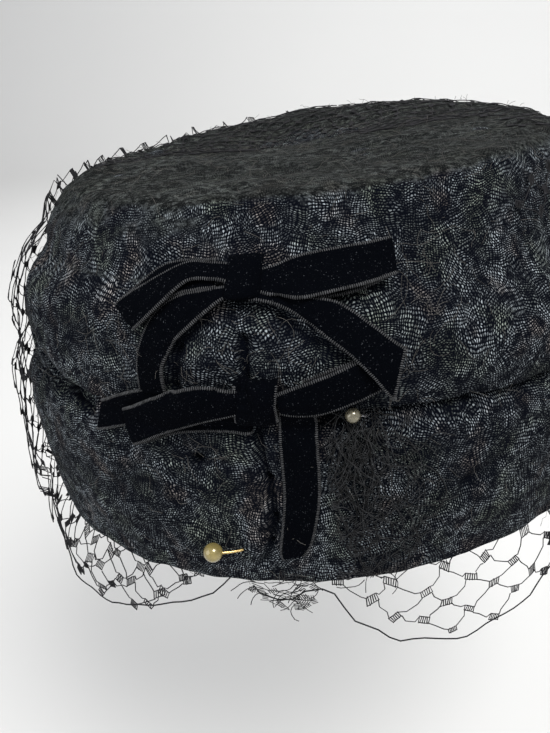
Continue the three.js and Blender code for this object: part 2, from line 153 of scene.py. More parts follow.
class StageSettings(bpy.types.PropertyGroup):
    """Camera, light and floor."""

    camera_at: FloatVectorProperty(
        name="Camera place", description="Where the camera stands", subtype="TRANSLATION",
        size=3, default=(0.05359, -0.28579, 0.14566), unit="LENGTH")
    heading: FloatProperty(
        name="Heading", description="Which way the camera looks, from +Y towards +X",
        default=math.radians(-13.51), subtype="ANGLE")
    pitch: FloatProperty(
        name="Pitch", description="How far up the camera looks",
        default=math.radians(-22.56), subtype="ANGLE")
    roll: FloatProperty(
        name="Roll", description="How far the camera leans",
        default=math.radians(-6.77), subtype="ANGLE")
    lens: FloatProperty(name="Lens", description="Focal length in millimetres", default=45.69, min=5.0)
    floor_height: FloatProperty(
        name="Floor", description="Height of the floor below the hat",
        default=-0.16, unit="LENGTH")


# Shaders


class Value:
    """A number that changes over a surface, so that sums on it can be written plainly."""

    def __init__(self, finish, socket):
        self.finish = finish
        self.socket = socket

    def sum_with(self, operation, other, swapped=False):
        values = [other, self] if swapped else [self, other]
        return self.finish.maths(operation, *values)

    def __add__(self, other):
        return self.sum_with("ADD", other)

    __radd__ = __add__

    def __mul__(self, other):
        return self.sum_with("MULTIPLY", other)

    __rmul__ = __mul__

    def __sub__(self, other):
        return self.sum_with("SUBTRACT", other)

    def __rsub__(self, other):
        return self.sum_with("SUBTRACT", other, swapped=True)

    def __truediv__(self, other):
        return self.sum_with("DIVIDE", other)

    def __gt__(self, other):
        return self.sum_with("GREATER_THAN", other)

    def __lt__(self, other):
        return self.sum_with("LESS_THAN", other)


class Nodes:
    """A node tree, added to by one call a node."""

    prefix = ""

    def plug(self, socket, value):
        """Links a socket, or sets it directly when the value is a constant."""
        if isinstance(value, Value):
            value = value.socket
        if isinstance(value, bpy.types.NodeSocket):
            self.tree.links.new(value, socket)
        elif value is not None:
            wants_colour = socket.type == "RGBA" and len(value) == 3
            socket.default_value = (*value, 1.0) if wants_colour else value

    def node(self, kind, settings=None, sockets=None):
        known = kind.startswith(("Function", "Shader"))
        made = self.tree.nodes.new(kind if known else self.prefix + kind)
        for key, value in (settings or {}).items():
            setattr(made, key, value)
        for key, value in (sockets or {}).items():
            self.plug(made.inputs[key], value)
        return made


class Finish(Nodes):
    """One material and its nodes."""

    prefix = "ShaderNode"

    def __init__(self, name):
        self.material = bpy.data.materials.new(name)
        self.material.use_nodes = True
        self.tree = self.material.node_tree
        self.tree.nodes.clear()
        self.shader = self.tree.nodes.new("ShaderNodeBsdfPrincipled")
        output = self.tree.nodes.new("ShaderNodeOutputMaterial")
        self.tree.links.new(self.shader.outputs["BSDF"], output.inputs["Surface"])

    def value(self, socket):
        return Value(self, socket)

    def maths(self, operation, *values):
        made = self.node("Math", {"operation": operation}, dict(enumerate(values)))
        return self.value(made.outputs[0])

    def vector(self, operation, first, second=None, scale=None):
        sockets = {0: first}
        if second is not None:
            sockets[1] = second
        if scale is not None:
            sockets["Scale"] = scale
        return self.node("VectorMath", {"operation": operation}, sockets).outputs[0]

    def mix(self, factor, first, second, blend="MIX"):
        made = self.node("Mix", {"data_type": "RGBA", "blend_type": blend, "clamp_factor": True})
        for index, value in ((0, factor), (6, first), (7, second)):
            self.plug(made.inputs[index], value)
        return made.outputs[2]

    def step(self, value, low, high, to_low=0.0, to_high=1.0):
        made = self.node(
            "MapRange", {"interpolation_type": "SMOOTHSTEP"},
            {"Value": value, "From Min": low, "From Max": high,
             "To Min": to_low, "To Max": to_high})
        return self.value(made.outputs[0])

    def solid(self):
        """Place in the piece, in metres."""
        return self.node("TexCoord").outputs["Object"]

    def attribute(self, name):
        return self.value(self.node("Attribute", {"attribute_name": name}).outputs["Fac"])

    def noise(self, place, scale, detail=2.0, rough=0.5, output="Fac"):
        made = self.node(
            "TexNoise", None,
            {"Vector": place, "Scale": scale, "Detail": detail, "Roughness": rough})
        return self.value(made.outputs[output])

    def cells(self, place, scale, randomness=1.0, distance="EUCLIDEAN"):
        return self.node(
            "TexVoronoi", {"distance": distance},
            {"Vector": place, "Scale": scale, "Randomness": randomness})

    def bump(self, height, distance, strength=1.0):
        made = self.node("Bump", None, {"Height": height, "Distance": distance, "Strength": strength})
        return made.outputs[0]

    def set(self, **sockets):
        for key, value in sockets.items():
            self.plug(self.shader.inputs[key.replace("_", " ")], value)
        return self.material


def straw_finish(name, settings, fuzzy):
    """Short straw stitches in rows, in puffed patches that each run their own way, with painted shade
    at the edges of the patches and in the creases.
    """
    f = Finish(name)
    flat = f.vector("SCALE", f.node("UVMap", {"uv_map": "cloth"}).outputs[0], scale=1000.0)
    solid = f.vector("SCALE", f.solid(), scale=1000.0)
    drift = f.noise(flat, 0.09, 2.0, 0.5, "Color").socket
    drift = f.vector("SCALE", f.vector("SUBTRACT", drift, (0.5, 0.5, 0.5)), scale=5.0)
    small = f.noise(flat, 0.75, 1.0, 0.5, "Color").socket
    small = f.vector("SCALE", f.vector("SUBTRACT", small, (0.5, 0.5, 0.5)), scale=0.7)
    bent = f.vector("ADD", f.vector("ADD", flat, drift), small)
    patch = f.cells(bent, 1.0 / settings.patch, 0.75, "CHEBYCHEV")
    # puff is 1 in the middle of a patch and 0 at its edge; it raises the bump and also paints shade at
    # the patch edges.
    puff = 1.0 - f.step(f.value(patch.outputs["Distance"]), 0.30, 0.66)
    pick = f.node("SeparateColor", None, {"Color": patch.outputs["Color"]})
    one, two, three = (f.value(socket) for socket in pick.outputs[:3])
    lean = (one - 0.5) * 0.75
    upright = (two > 0.62) * 1.5708
    turned = f.node(
        "VectorRotate", {"rotation_type": "Z_AXIS"},
        {"Vector": bent, "Angle": lean + upright}).outputs[0]
    axes = f.node("SeparateXYZ", None, {"Vector": turned})
    row = f.value(axes.outputs[1]) / settings.row_height
    level = f.maths("FLOOR", row)
    shift = f.maths("FRACT", level * 0.5) * f.maths("ROUND", three)
    column = f.value(axes.outputs[0]) / settings.dash_length + shift
    place = f.maths("FLOOR", column)
    across = f.maths("ABSOLUTE", f.maths("FRACT", column) - 0.5)
    along = f.maths("ABSOLUTE", f.maths("FRACT", row) - 0.5)
    away = f.maths("SQRT", across * across * 0.62 + along * along)
    stitch = 1.0 - f.step(away, 0.13, 0.36)
    label = f.node("CombineXYZ", None, {0: place, 1: level, 2: one * 37.0})
    each = f.value(f.node("TexWhiteNoise", None, {"Vector": label.outputs[0]}).outputs[0])
    each = f.step(each, 0.0, 0.9, 0.22, 1.32)
    gap = f.step(f.noise(flat, 0.34, 3.0, 0.65), 0.37, 0.57, 0.04, 1.0)
    broad = f.step(f.noise(solid, 0.04, 3.0, 0.6), 0.3, 0.7, 0.62, 1.25)
    tone = f.step(two, 0.0, 1.0, 0.55, 1.2)
    top = f.attribute("over_top")
    hair = f.node(
        "TexNoise", {"noise_type": "RIDGED_MULTIFRACTAL"},
        {"Vector": f.vector("ADD", solid, drift), "Scale": 0.42, "Detail": 4.0,
         "Roughness": 0.75})
    hair = f.step(hair.outputs[0], 0.9, 1.7)
    tufts = f.noise(f.vector("MULTIPLY", solid, (0.42, 0.62, 0.62)), 1.0, 5.0, 0.78)
    tufts = f.step(tufts, 0.44, 0.62)
    tint = f.noise(solid, 0.09, 2.0, 0.5)
    greenish = f.mix(f.step(tint, 0.45, 0.7), settings.stitch, (0.27, 0.31, 0.27))
    brownish = f.mix(f.step(tint, 0.30, 0.46), (0.32, 0.29, 0.275), greenish)
    light = f.mix(top * (0.85 * fuzzy), brownish, settings.top_tone)
    dark = f.mix(top * 0.8, settings.ground, (0.004, 0.0048, 0.0045))
    # Painted shade in the creases: the deeper a crease pushes the cloth in, the darker its stitches.
    hollow = f.attribute("hollow")
    # Painted shade: the stitches darken towards the edge of each puffed patch.
    lit = stitch * each * gap * (0.40 + puff * 0.60) * tone * (1.0 - hollow * 0.94)
    over = tufts * (0.42 + hair * 0.4) + stitch * tufts * 0.3
    mask = (lit * (1.0 - top * 0.75) + top * over) * broad
    colour = f.mix(mask, dark, light)
    relief = stitch * (0.35 + each * 0.45) * gap + puff * 0.45 + top * tufts * 1.1
    f.set(
        Base_Color=colour,
        Roughness=f.step(stitch, 0.0, 1.0, 0.95, 0.6),
        Specular_IOR_Level=0.05,
        Normal=f.bump(relief, 0.0004, 0.9),
    )
    return f.material


def velvet_finish(name, settings):
    """Dense dark pile with fine dust and a few specks of lint."""
    f = Finish(name)
    flat = f.vector("SCALE", f.node("UVMap", {"uv_map": "cloth"}).outputs[0], scale=1000.0)
    solid = f.vector("SCALE", f.solid(), scale=1000.0)
    cell = f.cells(solid, 1.7)
    near = f.value(cell.outputs["Distance"]) < 0.22
    rare = f.node("SeparateColor", None, {"Color": cell.outputs["Color"]})
    speck = near * (f.value(rare.outputs[0]) > 0.45) * f.value(rare.outputs[1])
    dust = f.step(f.noise(solid, 2.6, 3.0, 0.75), 0.56, 0.74)
    brushed = f.step(f.noise(flat, 0.22, 2.0, 0.5), 0.35, 0.7, 0.25, 1.5)
    colour = f.mix(dust * 0.08 * brushed, settings.pile, (0.06, 0.07, 0.09))
    colour = f.mix(speck * 0.28 * brushed, colour, (0.13, 0.14, 0.16))
    f.set(
        Base_Color=colour,
        Roughness=0.95,
        Specular_IOR_Level=0.01,
        Sheen_Weight=0.003,
        Sheen_Roughness=0.45,
        Sheen_Tint=(0.5, 0.58, 0.75, 1.0),
        Normal=f.bump(f.noise(solid, 3.0, 2.0, 0.7), 0.00025, 0.8),
    )
    return f.material


def thread_finish(name, colour, spread):
    """Matt thread whose tone varies along its length."""
    f = Finish(name)
    solid = f.solid()
    tone = f.step(f.noise(solid, 700.0, 2.0, 0.6), 0.3, 0.7)
    dark = tuple(part * (1.0 - spread) for part in colour)
    light = tuple(min(part * (1.0 + spread), 1.0) for part in colour)
    f.set(
        Base_Color=f.mix(tone, dark, light),
        Roughness=0.8,
        Specular_IOR_Level=0.2,
        Normal=f.bump(f.noise(solid, 4000.0, 1.0), 0.00005, 0.6),
    )
    return f.material


def pearl_finish(name, colour, metal, speckled):
    """Lustre over a slightly uneven body colour."""
    f = Finish(name)
    solid = f.solid()
    cloud = f.step(f.noise(solid, 420.0, 2.0, 0.5), 0.3, 0.7)
    shade = tuple(part * 0.72 for part in colour)
    body = f.mix(cloud, shade, colour)
    if speckled:
        spot = f.step(f.noise(solid, 1500.0, 2.0, 0.7), 0.56, 0.64)
        body = f.mix(spot * 0.85, body, (0.05, 0.045, 0.035))
    f.set(
        Base_Color=body,
        Metallic=metal,
        Roughness=f.step(cloud, 0.0, 1.0, 0.30, 0.18),
        Coat_Weight=0.6,
        Coat_Roughness=0.12,
        Normal=f.bump(f.noise(solid, 900.0, 2.0), 0.00008, 0.35),
    )
    return f.material


def metal_finish(name, colour, rough):
    """Bright wire, rubbed along its length."""
    f = Finish(name)
    solid = f.solid()
    rubbed = f.noise(f.vector("MULTIPLY", solid, (300.0, 2500.0, 2500.0)), 1.0, 2.0)
    shade = tuple(part * 0.6 for part in colour)
    f.set(
        Base_Color=f.mix(f.step(rubbed, 0.3, 0.7), shade, colour),
        Metallic=1.0,
        Roughness=f.step(rubbed, 0.3, 0.7, rough, rough + 0.15),
        Normal=f.bump(rubbed, 0.00003, 0.4),
    )
    return f.material


def paper_finish(name, colour):
    """Seamless paper of the backdrop."""
    f = Finish(name)
    solid = f.solid()
    shade = tuple(part * 0.97 for part in colour)
    f.set(
        Base_Color=f.mix(f.noise(solid, 3.0, 2.0), shade, colour),
        Roughness=0.9,
        Specular_IOR_Level=0.2,
    )
    return f.material


def shared(name, make, *values):
    """The material of this name, made when it is first needed."""
    return bpy.data.materials.get(name) or make(name, *values)


# Meshes


def table(columns, *rows):
    """Rows of a short table, each with its values under the names of the columns."""
    return [dict(zip(columns.split(), row)) for row in rows]


def new_object(name, mesh):
    made = bpy.data.objects.new(name, mesh)
    bpy.context.scene.collection.objects.link(made)
    return made


def settle(piece):
    """Turns a piece with modifiers into a plain mesh."""
    graph = bpy.context.evaluated_depsgraph_get()
    mesh = bpy.data.meshes.new_from_object(
        piece.evaluated_get(graph), preserve_all_data_layers=True, depsgraph=graph)
    piece.modifiers.clear()
    old, piece.data = piece.data, mesh
    mesh.name = piece.name
    bpy.data.meshes.remove(old)
    return piece


def hand_over(piece, slot, *nodes):
    """Lets a finished piece ride on the hat and stand for its CAD nodes."""
    if not piece.data.polygons:
        raise RuntimeError(f"{piece.name} came out empty")
    if nodes:
        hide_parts(*nodes)
    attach(piece, "root")


def bump_of(distance):
    """Soft hump that is 1 at no distance and 0 from a distance of 1."""
    t = min(abs(distance), 1.0)
    return (1.0 - t * t) ** 2


def distance_to(x, z, line):
    """How far a place in front of the hat is from a crease."""
    ax, az, bx, bz = line["x1"], line["z1"], line["x2"], line["z2"]
    dx, dz = bx - ax, bz - az
    t = ((x - ax) * dx + (z - az) * dz) / (dx * dx + dz * dz)
    held = min(max(t, 0.0), 1.0)
    return math.hypot(x - ax - held * dx, z - az - held * dz)


# Creases of the front: two ends in millimetres as seen from the front, how far the cloth is
# pushed out (or in, when negative) and how wide the crease is. Where it is pushed in, the
# stitches there also get painted shade.
CREASES = table(
    "x1 z1 x2 z2 push wide",
    (1.6, 47, 2.6, 34, -2.4, 1.0),
    (2.6, 34, 2.8, 22, -2.4, 1.0),
    (2.8, 22, 0.6, 14, -2.2, 1.0),
    (0.6, 14, -2.2, 8, -1.6, 1.1),
    (-0.6, 46, 0.2, 22, 0.9, 2.6),
    (-1.0, 22, -4.6, 10, 0.8, 2.6),
    (-15.2, 39, -9.0, 44, -0.8, 1.1),
    (-15.2, 39, -7.0, 38, -0.7, 1.0),
    (-15.2, 39, -9.5, 31, -0.7, 1.0),
    (-15.2, 39, -16.5, 30, -0.8, 1.1),
    (-15.2, 39, -23.0, 33, -0.8, 1.2),
    (-15.2, 39, -25.0, 40, -0.7, 1.2),
    (-15.2, 39, -20.0, 45, -0.7, 1.0),
    (1.2, 71, 0.4, 58, -3.0, 1.2),
    (-8.0, 75, -15.5, 69, -1.8, 1.6),
    (-15.5, 69, -17.5, 59, -1.8, 1.6),
    (10.0, 75, 17.5, 69, -1.6, 1.6),
    (-4.0, 68, -6.0, 60, -0.5, 1.2),
    (6.0, 70, 8.5, 61, -0.5, 1.2),
    (57.0, 28, 50.0, 25, -1.2, 2.0),
    (50.0, 25, 47.0, 20, -0.9, 2.0),
    (-34.0, 66, -62.0, 70, -0.8, 3.0),
    (-78.0, 61.6, -67.0, 56.6, -3.6, 1.4),
    (-67.0, 56.6, -57.0, 51.8, -4.6, 1.5),
    (-57.0, 51.8, -47.0, 47.2, -5.2, 1.4),
    (-64.0, 61, -50.0, 56.5, 1.2, 3.2),
    (26.0, 54, 44.0, 60, -0.7, 2.4),
    (30.0, 38, 46.0, 42, 0.7, 3.0),
    (-30.0, 30, -48.0, 24, -0.7, 3.0),
)


def crease_push(place):
    """Sum of the creases of the front at a place, in millimetres."""
    if place.y > -0.040:
        return 0.0
    x, z = place.x / MM, place.z / MM
    push = 0.0
    for line in CREASES:
        away = distance_to(x, z, line)
        push += line["push"] * bump_of(away / (1.7 * line["wide"]))
    return push


def cloth_from(node, name, settings, finish):
    """Smooth cloth over a CAD wall, with creases, soft waves and a flat map of its weave."""
    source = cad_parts[node]
    work = bmesh.new()
    work.from_mesh(source.data)
    bmesh.ops.remove_doubles(work, verts=work.verts, dist=1e-6)
    bmesh.ops.join_triangles(
        work, faces=work.faces, angle_face_threshold=0.8, angle_shape_threshold=1.2)
    mesh = bpy.data.meshes.new(name)
    work.to_mesh(mesh)
    work.free()
    piece = new_object(name, mesh)
    smooth = piece.modifiers.new("smooth", "SUBSURF")
    smooth.levels = smooth.render_levels = 2
    settle(piece)
    work = bmesh.new()
    work.from_mesh(piece.data)
    # The front, where the bows are, gets a finer mesh for its creases.
    near = [
        face for face in work.faces
        if face.calc_center_median().y < -0.042 and abs(face.calc_center_median().x) < 0.074
        and face.normal.y < 0.2
    ]
    edges = list(dict.fromkeys(edge for face in near for edge in face.edges))
    bmesh.ops.subdivide_edges(work, edges=edges, cuts=1, use_grid_fill=True, smooth=0.0)
    work.normal_update()
    # Painted shade for the creases: how deep each crease pushes the cloth in, which darkens its
    # stitches in the straw finish.
    hollow = work.verts.layers.float.new("hollow")
    moves = []
    for vert in work.verts:
        outward = vert.normal.dot(Vector((vert.co.x, vert.co.y, 0.0)).normalized())
        facing = max(outward, vert.normal.z) > -0.2
        soft = noise.noise(vert.co * 62.0) * settings.wave * 1.5
        soft += noise.noise(vert.co * 150.0) * settings.wave * 0.8
        soft += noise.noise(vert.co * 330.0) * settings.wave * 0.35
        fine = crease_push(vert.co) * MM if facing else 0.0
        vert[hollow] = min(max(-fine / (1.6 * MM), 0.0), 1.0)
        over = min(max((vert.co.z - 0.090) / 0.006, 0.0), 1.0)
        if over and facing:
            long_way = Vector((vert.co.x * 38.0, vert.co.y * 120.0, 0.0))
            bend = noise.noise(vert.co * 22.0) * 1.6
            crumple = noise.noise(long_way + Vector((bend, bend, 0.0)))
            crumple -= 0.7 * abs(noise.noise(vert.co * 75.0))
            soft += over * crumple * settings.wave * 2.2
        radial = Vector((vert.co.x, vert.co.y, 0.0)).normalized()
        moves.append((vert, vert.normal * soft * (1.0 if facing else 0.2) + radial * fine))
    for vert, move in moves:
        vert.co += move
    work.normal_update()
    over_top = work.verts.layers.float.new("over_top")
    for vert in work.verts:
        if vert.co.z > 0.082:
            share = min(max((vert.normal.z - 0.45) / 0.4, 0.0), 1.0)
            vert[over_top] = share * share * (3 - 2 * share)
    flat = work.loops.layers.uv.new("cloth")
    for face in work.faces:
        middle = face.calc_center_median()
        on_top = abs(face.normal.z) > 0.75 and middle.z > 0.085
        turn = math.atan2(middle.x, -middle.y)
        for loop in face.loops:
            here = loop.vert.co
            if on_top:
                loop[flat].uv = (here.x, here.y)
            else:
                angle = math.atan2(here.x, -here.y)
                angle += 2 * math.pi * round((turn - angle) / (2 * math.pi))
                loop[flat].uv = (0.09 * angle, here.z + 0.3)
    work.to_mesh(piece.data)
    work.free()
    piece.data.shade_smooth()
    piece.data.materials.clear()
    piece.data.materials.append(finish)
    return piece


class Wall:
    """The finished cloth, as the trimmings meet it."""

    tree = None

    @classmethod
    def hit(cls, start, direction):
        """First place on the cloth along a line, or None."""
        if cls.tree is None:
            raise RuntimeError("the cloth has to be made first")
        return cls.tree.ray_cast(start, direction)[0]

    @classmethod
    def build(cls, pieces):
        points, faces = [], []
        for piece in pieces:
            start = len(points)
            points += [vert.co.copy() for vert in piece.data.vertices]
            faces += [[start + v for v in face.vertices] for face in piece.data.polygons]
        cls.tree = BVHTree.FromPolygons(points, faces)

    @classmethod
    def depth(cls, x, z):
        """Y of the cloth in front, in millimetres, bridging the narrow grooves."""
        best = None
        for rise in (-5.0, -2.5, 0.0, 2.5, 5.0):
            hit = cls.hit(Vector((x * MM, -0.3, (z + rise) * MM)), Vector((0.0, 1.0, 0.0)))
            if hit is not None:
                y = hit.y / MM + 0.05 * rise * rise
                best = y if best is None else min(best, y)
        return -80.0 if best is None else best

    @classmethod
    def front(cls, x, z, lift):
        """A place in front of the cloth, in metres."""
        y = cls.depth(x, z)
        away = Vector((x, y, 0.0)).normalized() * lift
        return Vector((x + away.x, y + away.y, z)) * MM

    @classmethod
    def round(cls, turn, rise, lift):
        """A place off the wall at an angle from the front, in degrees and millimetres."""
        angle = math.radians(turn)
        out = Vector((math.sin(angle), -math.cos(angle), 0.0))
        reach = 0.0
        for step in (-7.0, -3.5, 0.0, 3.5, 7.0):
            start = out * 0.2 + Vector((0.0, 0.0, max(rise + step, 1.5) * MM))
            hit = cls.hit(start, -out)
            if hit is not None:
                reach = max(reach, math.hypot(hit.x, hit.y) / MM - 0.03 * step * step)
        return (out * (reach + lift) + Vector((0.0, 0.0, rise))) * MM

    @classmethod
    def above(cls, x, y, lift):
        """A place over the top, in metres."""
        hit = cls.hit(Vector((x * MM, y * MM, 0.3)), Vector((0.0, 0.0, -1.0)))
        z = 0.09 if hit is None else hit.z
        return Vector((x * MM, y * MM, z + lift * MM))


def blend_row(rows, place, key):
    """Smooth value of a column between the rows of a table."""
    k = min(int(place), len(rows) - 2)
    t = place - k
    a, b, c, d = (rows[min(max(k + i, 0), len(rows) - 1)][key] for i in (-1, 0, 1, 2))
    return b + 0.5 * t * (c - a + t * (2 * a - 5 * b + 4 * c - d + t * (3 * (b - c) + d - a)))


def ribbon_points(rows, settings, columns=12, per_row=7, arch=0.0):
    """Grid of points of a ribbon over the cloth, raised by arch along its middle."""
    grid = []
    steps = per_row * (len(rows) - 1)
    for i in range(steps + 1):
        place = i / per_row
        pick = {key: blend_row(rows, place, key) for key in rows[0]}
        turn, lean = math.radians(pick["turn"]), math.radians(pick["lean"])
        half = settings.width / MM * pick["wide"] / 2
        line = []
        for k in range(columns + 1):
            s = -1 + 2 * k / columns
            reach = s * half
            lift = pick["lift"] + reach * math.sin(lean) + arch * (1 - s * s)
            x = pick["x"] + reach * math.cos(lean) * math.cos(turn)
            z = pick["z"] + reach * math.cos(lean) * math.sin(turn)
            line.append(Wall.front(x, z, max(lift, 0.35)))
        grid.append(line)
    return grid


def strip_mesh(name, grid, settings, finish):
    """Ribbon with thickness from a grid of points, mapped flat in metres."""
    work = bmesh.new()
    flat = work.loops.layers.uv.new("cloth")
    columns = len(grid[0])
    verts = [[work.verts.new(point) for point in line] for line in grid]
    run = [0.0]
    for a, b in zip(grid, grid[1:]):
        run.append(run[-1] + (b[columns // 2] - a[columns // 2]).length)
    for i in range(len(grid) - 1):
        for k in range(columns - 1):
            corners = [(i, k), (i, k + 1), (i + 1, k + 1), (i + 1, k)]
            face = work.faces.new([verts[a][b] for a, b in corners])
            for loop, (a, b) in zip(face.loops, corners):
                loop[flat].uv = ((b / (columns - 1) - 0.5) * settings.width, run[a])
    work.normal_update()
    towards = sum((face.normal for face in work.faces), Vector())
    if towards.y > 0:
        bmesh.ops.reverse_faces(work, faces=work.faces)
    mesh = bpy.data.meshes.new(name)
    work.to_mesh(mesh)
    work.free()
    mesh.materials.append(finish)
    piece = new_object(name, mesh)
    thick = piece.modifiers.new("thick", "SOLIDIFY")
    thick.thickness = settings.thickness
    thick.offset = 0.0
    smooth = piece.modifiers.new("smooth", "SUBSURF")
    smooth.levels = smooth.render_levels = 1
    settle(piece)
    piece.data.shade_smooth()
    return piece


def join_pieces(name, pieces):
    """Joins plain meshes that share a finish into one piece."""
    work = bmesh.new()
    materials = []
    for piece in pieces:
        start = len(work.faces)
        work.from_mesh(piece.data)
        work.faces.ensure_lookup_table()
        for face in work.faces[start:]:
            used = piece.data.materials[face.material_index]
            if used not in materials:
                materials.append(used)
            face.material_index = materials.index(used)
    mesh = bpy.data.meshes.new(name)
    work.to_mesh(mesh)
    work.free()
    for material in materials:
        mesh.materials.append(material)
    for piece in pieces:
        old = piece.data
        bpy.data.objects.remove(piece)
        bpy.data.meshes.remove(old)
    return new_object(name, mesh)


def line_object(name, lines, across=None):
    """Loose edges that follow each list of points. across gives a direction at each point."""
    points, edges = [], []
    for line in lines:
        start = len(points)
        points += line
        edges += [(start + i, start + i + 1) for i in range(len(line) - 1)]
    mesh = bpy.data.meshes.new(name)
    mesh.from_pydata(points, edges, [])
    if across:
        kept = mesh.attributes.new("across", "FLOAT_VECTOR", "POINT")
        for place, direction in zip(kept.data, (d for line in across for d in line)):
            place.vector = direction
    return new_object(name, mesh)


# Geometry Nodes


class Growth(Nodes):
    """One Geometry Nodes tree with named inputs, and the modifier that runs it."""

    prefix = "GeometryNode"

    def __init__(self, name, inputs):
        self.tree = bpy.data.node_groups.new(name, "GeometryNodeTree")
        face = self.tree.interface
        face.new_socket("Geometry", in_out="INPUT", socket_type="NodeSocketGeometry")
        face.new_socket("Geometry", in_out="OUTPUT", socket_type="NodeSocketGeometry")
        kinds = {float: "NodeSocketFloat", int: "NodeSocketInt"}
        self.keys = {}
        for label, value in inputs.items():
            socket = face.new_socket(label, in_out="INPUT", socket_type=kinds[type(value)])
            socket.default_value = value
            self.keys[label] = socket.identifier
        self.values = inputs
        self.start = self.tree.nodes.new("NodeGroupInput")
        self.end = self.tree.nodes.new("NodeGroupOutput")

    def given(self, label):
        return self.start.outputs[label]

    def finish(self, geometry, material):
        smooth = self.node("SetShadeSmooth", None, {"Geometry": geometry})
        real = self.node("RealizeInstances", None, {"Geometry": smooth.outputs[0]})
        done = self.node("SetMaterial", None, {"Geometry": real.outputs[0], "Material": material})
        self.tree.links.new(done.outputs[0], self.end.inputs[0])

    def grow(self, piece):
        modifier = piece.modifiers.new(self.tree.name, "NODES")
        modifier.node_group = self.tree
        for label, value in self.values.items():
            modifier[self.keys[label]] = value
        return settle(piece)


def threads(name, lines, radius, sides, material):
    """Round threads along lists of points."""
    g = Growth("threads", {"Radius": radius, "Sides": sides})
    curve = g.node("MeshToCurve", None, {"Mesh": g.given("Geometry")})
    circle = g.node(
        "CurvePrimitiveCircle", None,
        {"Resolution": g.given("Sides"), "Radius": g.given("Radius")})
    tube = g.node(
        "CurveToMesh", None,
        {"Curve": curve.outputs[0], "Profile Curve": circle.outputs[0], "Fill Caps": True})
    g.finish(tube.outputs[0], material)
    return g.grow(line_object(name, lines))


def ribbed_edges(name, grid, settings, material, at_end=False):
    """Small bars close together along both edges of a ribbon's grid of points."""
    g = Growth("ribbed_edges", {"Pitch": settings.rib_pitch, "Radius": settings.edge_radius})
    curve = g.node("MeshToCurve", None, {"Mesh": g.given("Geometry")})
    points = g.node(
        "CurveToPoints", {"mode": "LENGTH"},
        {"Curve": curve.outputs[0], "Length": g.given("Pitch")})
    across = g.node("InputNamedAttribute", {"data_type": "FLOAT_VECTOR"}, {"Name": "across"})
    level = g.node(
        "FunctionNodeAlignRotationToVector", {"axis": "Z", "pivot_axis": "AUTO"},
        {"Vector": points.outputs["Tangent"]})
    turned = g.node(
        "FunctionNodeAlignRotationToVector", {"axis": "X", "pivot_axis": "Z"},
        {"Rotation": level.outputs[0], "Vector": across.outputs[0]})
    bar = g.node("MeshUVSphere", None, {"Segments": 8, "Rings": 5, "Radius": g.given("Radius")})
    shaped = g.node("Transform", None, {"Geometry": bar.outputs[0], "Scale": (1.18, 0.92, 0.56)})
    placed = g.node(
        "InstanceOnPoints", None,
        {"Points": points.outputs[0], "Instance": shaped.outputs[0],
         "Rotation": turned.outputs[0]})
    g.finish(placed.outputs[0], material)
    lines, directions = [], []
    for edge, inner in ((0, 1), (-1, -2)):
        way = [(line[inner] - line[edge]).normalized() for line in grid]
        lines.append([line[edge] + w * 0.45 * MM for line, w in zip(grid, way)])
        directions.append(way)
    if at_end:
        way = [(a - b).normalized() for a, b in zip(grid[-2], grid[-1])]
        lines.append([b + w * 0.5 * MM for b, w in zip(grid[-1], way)])
        directions.append(way)
    return g.grow(line_object(name, lines, directions))


LOOSE_FIBRES = table(
    "name cloth density length seed",
    ("crown_fibres", "crown_cloth", 15000.0, 0.0052, 5),
    ("band_fibres", "band_cloth", 12000.0, 0.0046, 9),
)


def loose_fibres(name, cloth, density, length, seed, radius, material):
    """Short bent fibres scattered over a piece of cloth."""
    g = Growth("loose_fibres", {"Density": density, "Length": length, "Radius": radius, "Seed": seed})
    spots = g.node(
        "DistributePointsOnFaces", {"distribute_method": "RANDOM"},
        {"Mesh": g.given("Geometry"), "Density": g.given("Density"), "Seed": g.given("Seed")})
    line = g.node("CurvePrimitiveLine", {"mode": "DIRECTION"},
                  {"Direction": (1.0, 0.0, 0.12), "Length": g.given("Length")})
    steps = g.node("ResampleCurve", None, {"Curve": line.outputs[0], "Count": 7})
    spin = g.node("FunctionNodeRandomValue", {"data_type": "FLOAT_VECTOR"},
                  {0: (-0.25, -0.35, 0.0), 1: (0.25, 0.1, 6.283), "Seed": g.given("Seed")})
    turned = g.node("FunctionNodeEulerToRotation", None, {0: spin.outputs[0]})
    lying = g.node("FunctionNodeRotateRotation", {"rotation_space": "LOCAL"},
                   {0: spots.outputs["Rotation"], 1: turned.outputs[0]})
    size = g.node("FunctionNodeRandomValue", {"data_type": "FLOAT"},
                  {2: 0.35, 3: 1.3, "Seed": g.given("Seed")})
    placed = g.node("InstanceOnPoints", None,
                    {"Points": spots.outputs["Points"], "Instance": steps.outputs[0],
                     "Rotation": lying.outputs[0], "Scale": size.outputs[1]})
    real = g.node("RealizeInstances", None, {"Geometry": placed.outputs[0]})
    wander = g.node("ShaderNodeTexNoise", {"noise_dimensions": "3D"}, {"Scale": 260.0, "Detail": 1.0})
    centred = g.node("ShaderNodeVectorMath", {"operation": "SUBTRACT"},
                     {0: wander.outputs["Color"], 1: (0.5, 0.5, 0.5)})
    offset = g.node("ShaderNodeVectorMath", {"operation": "SCALE"},
                    {0: centred.outputs[0], "Scale": 0.0042})
    bent = g.node("SetPosition", None, {"Geometry": real.outputs[0], "Offset": offset.outputs[0]})
    circle = g.node("CurvePrimitiveCircle", None, {"Resolution": 3, "Radius": g.given("Radius")})
    tube = g.node("CurveToMesh", None, {"Curve": bent.outputs[0], "Profile Curve": circle.outputs[0]})
    g.finish(tube.outputs[0], material)
    base = new_object(name, bpy.data.objects[cloth].data.copy())
    base.data.materials.clear()
    return g.grow(base)


# Ribbons


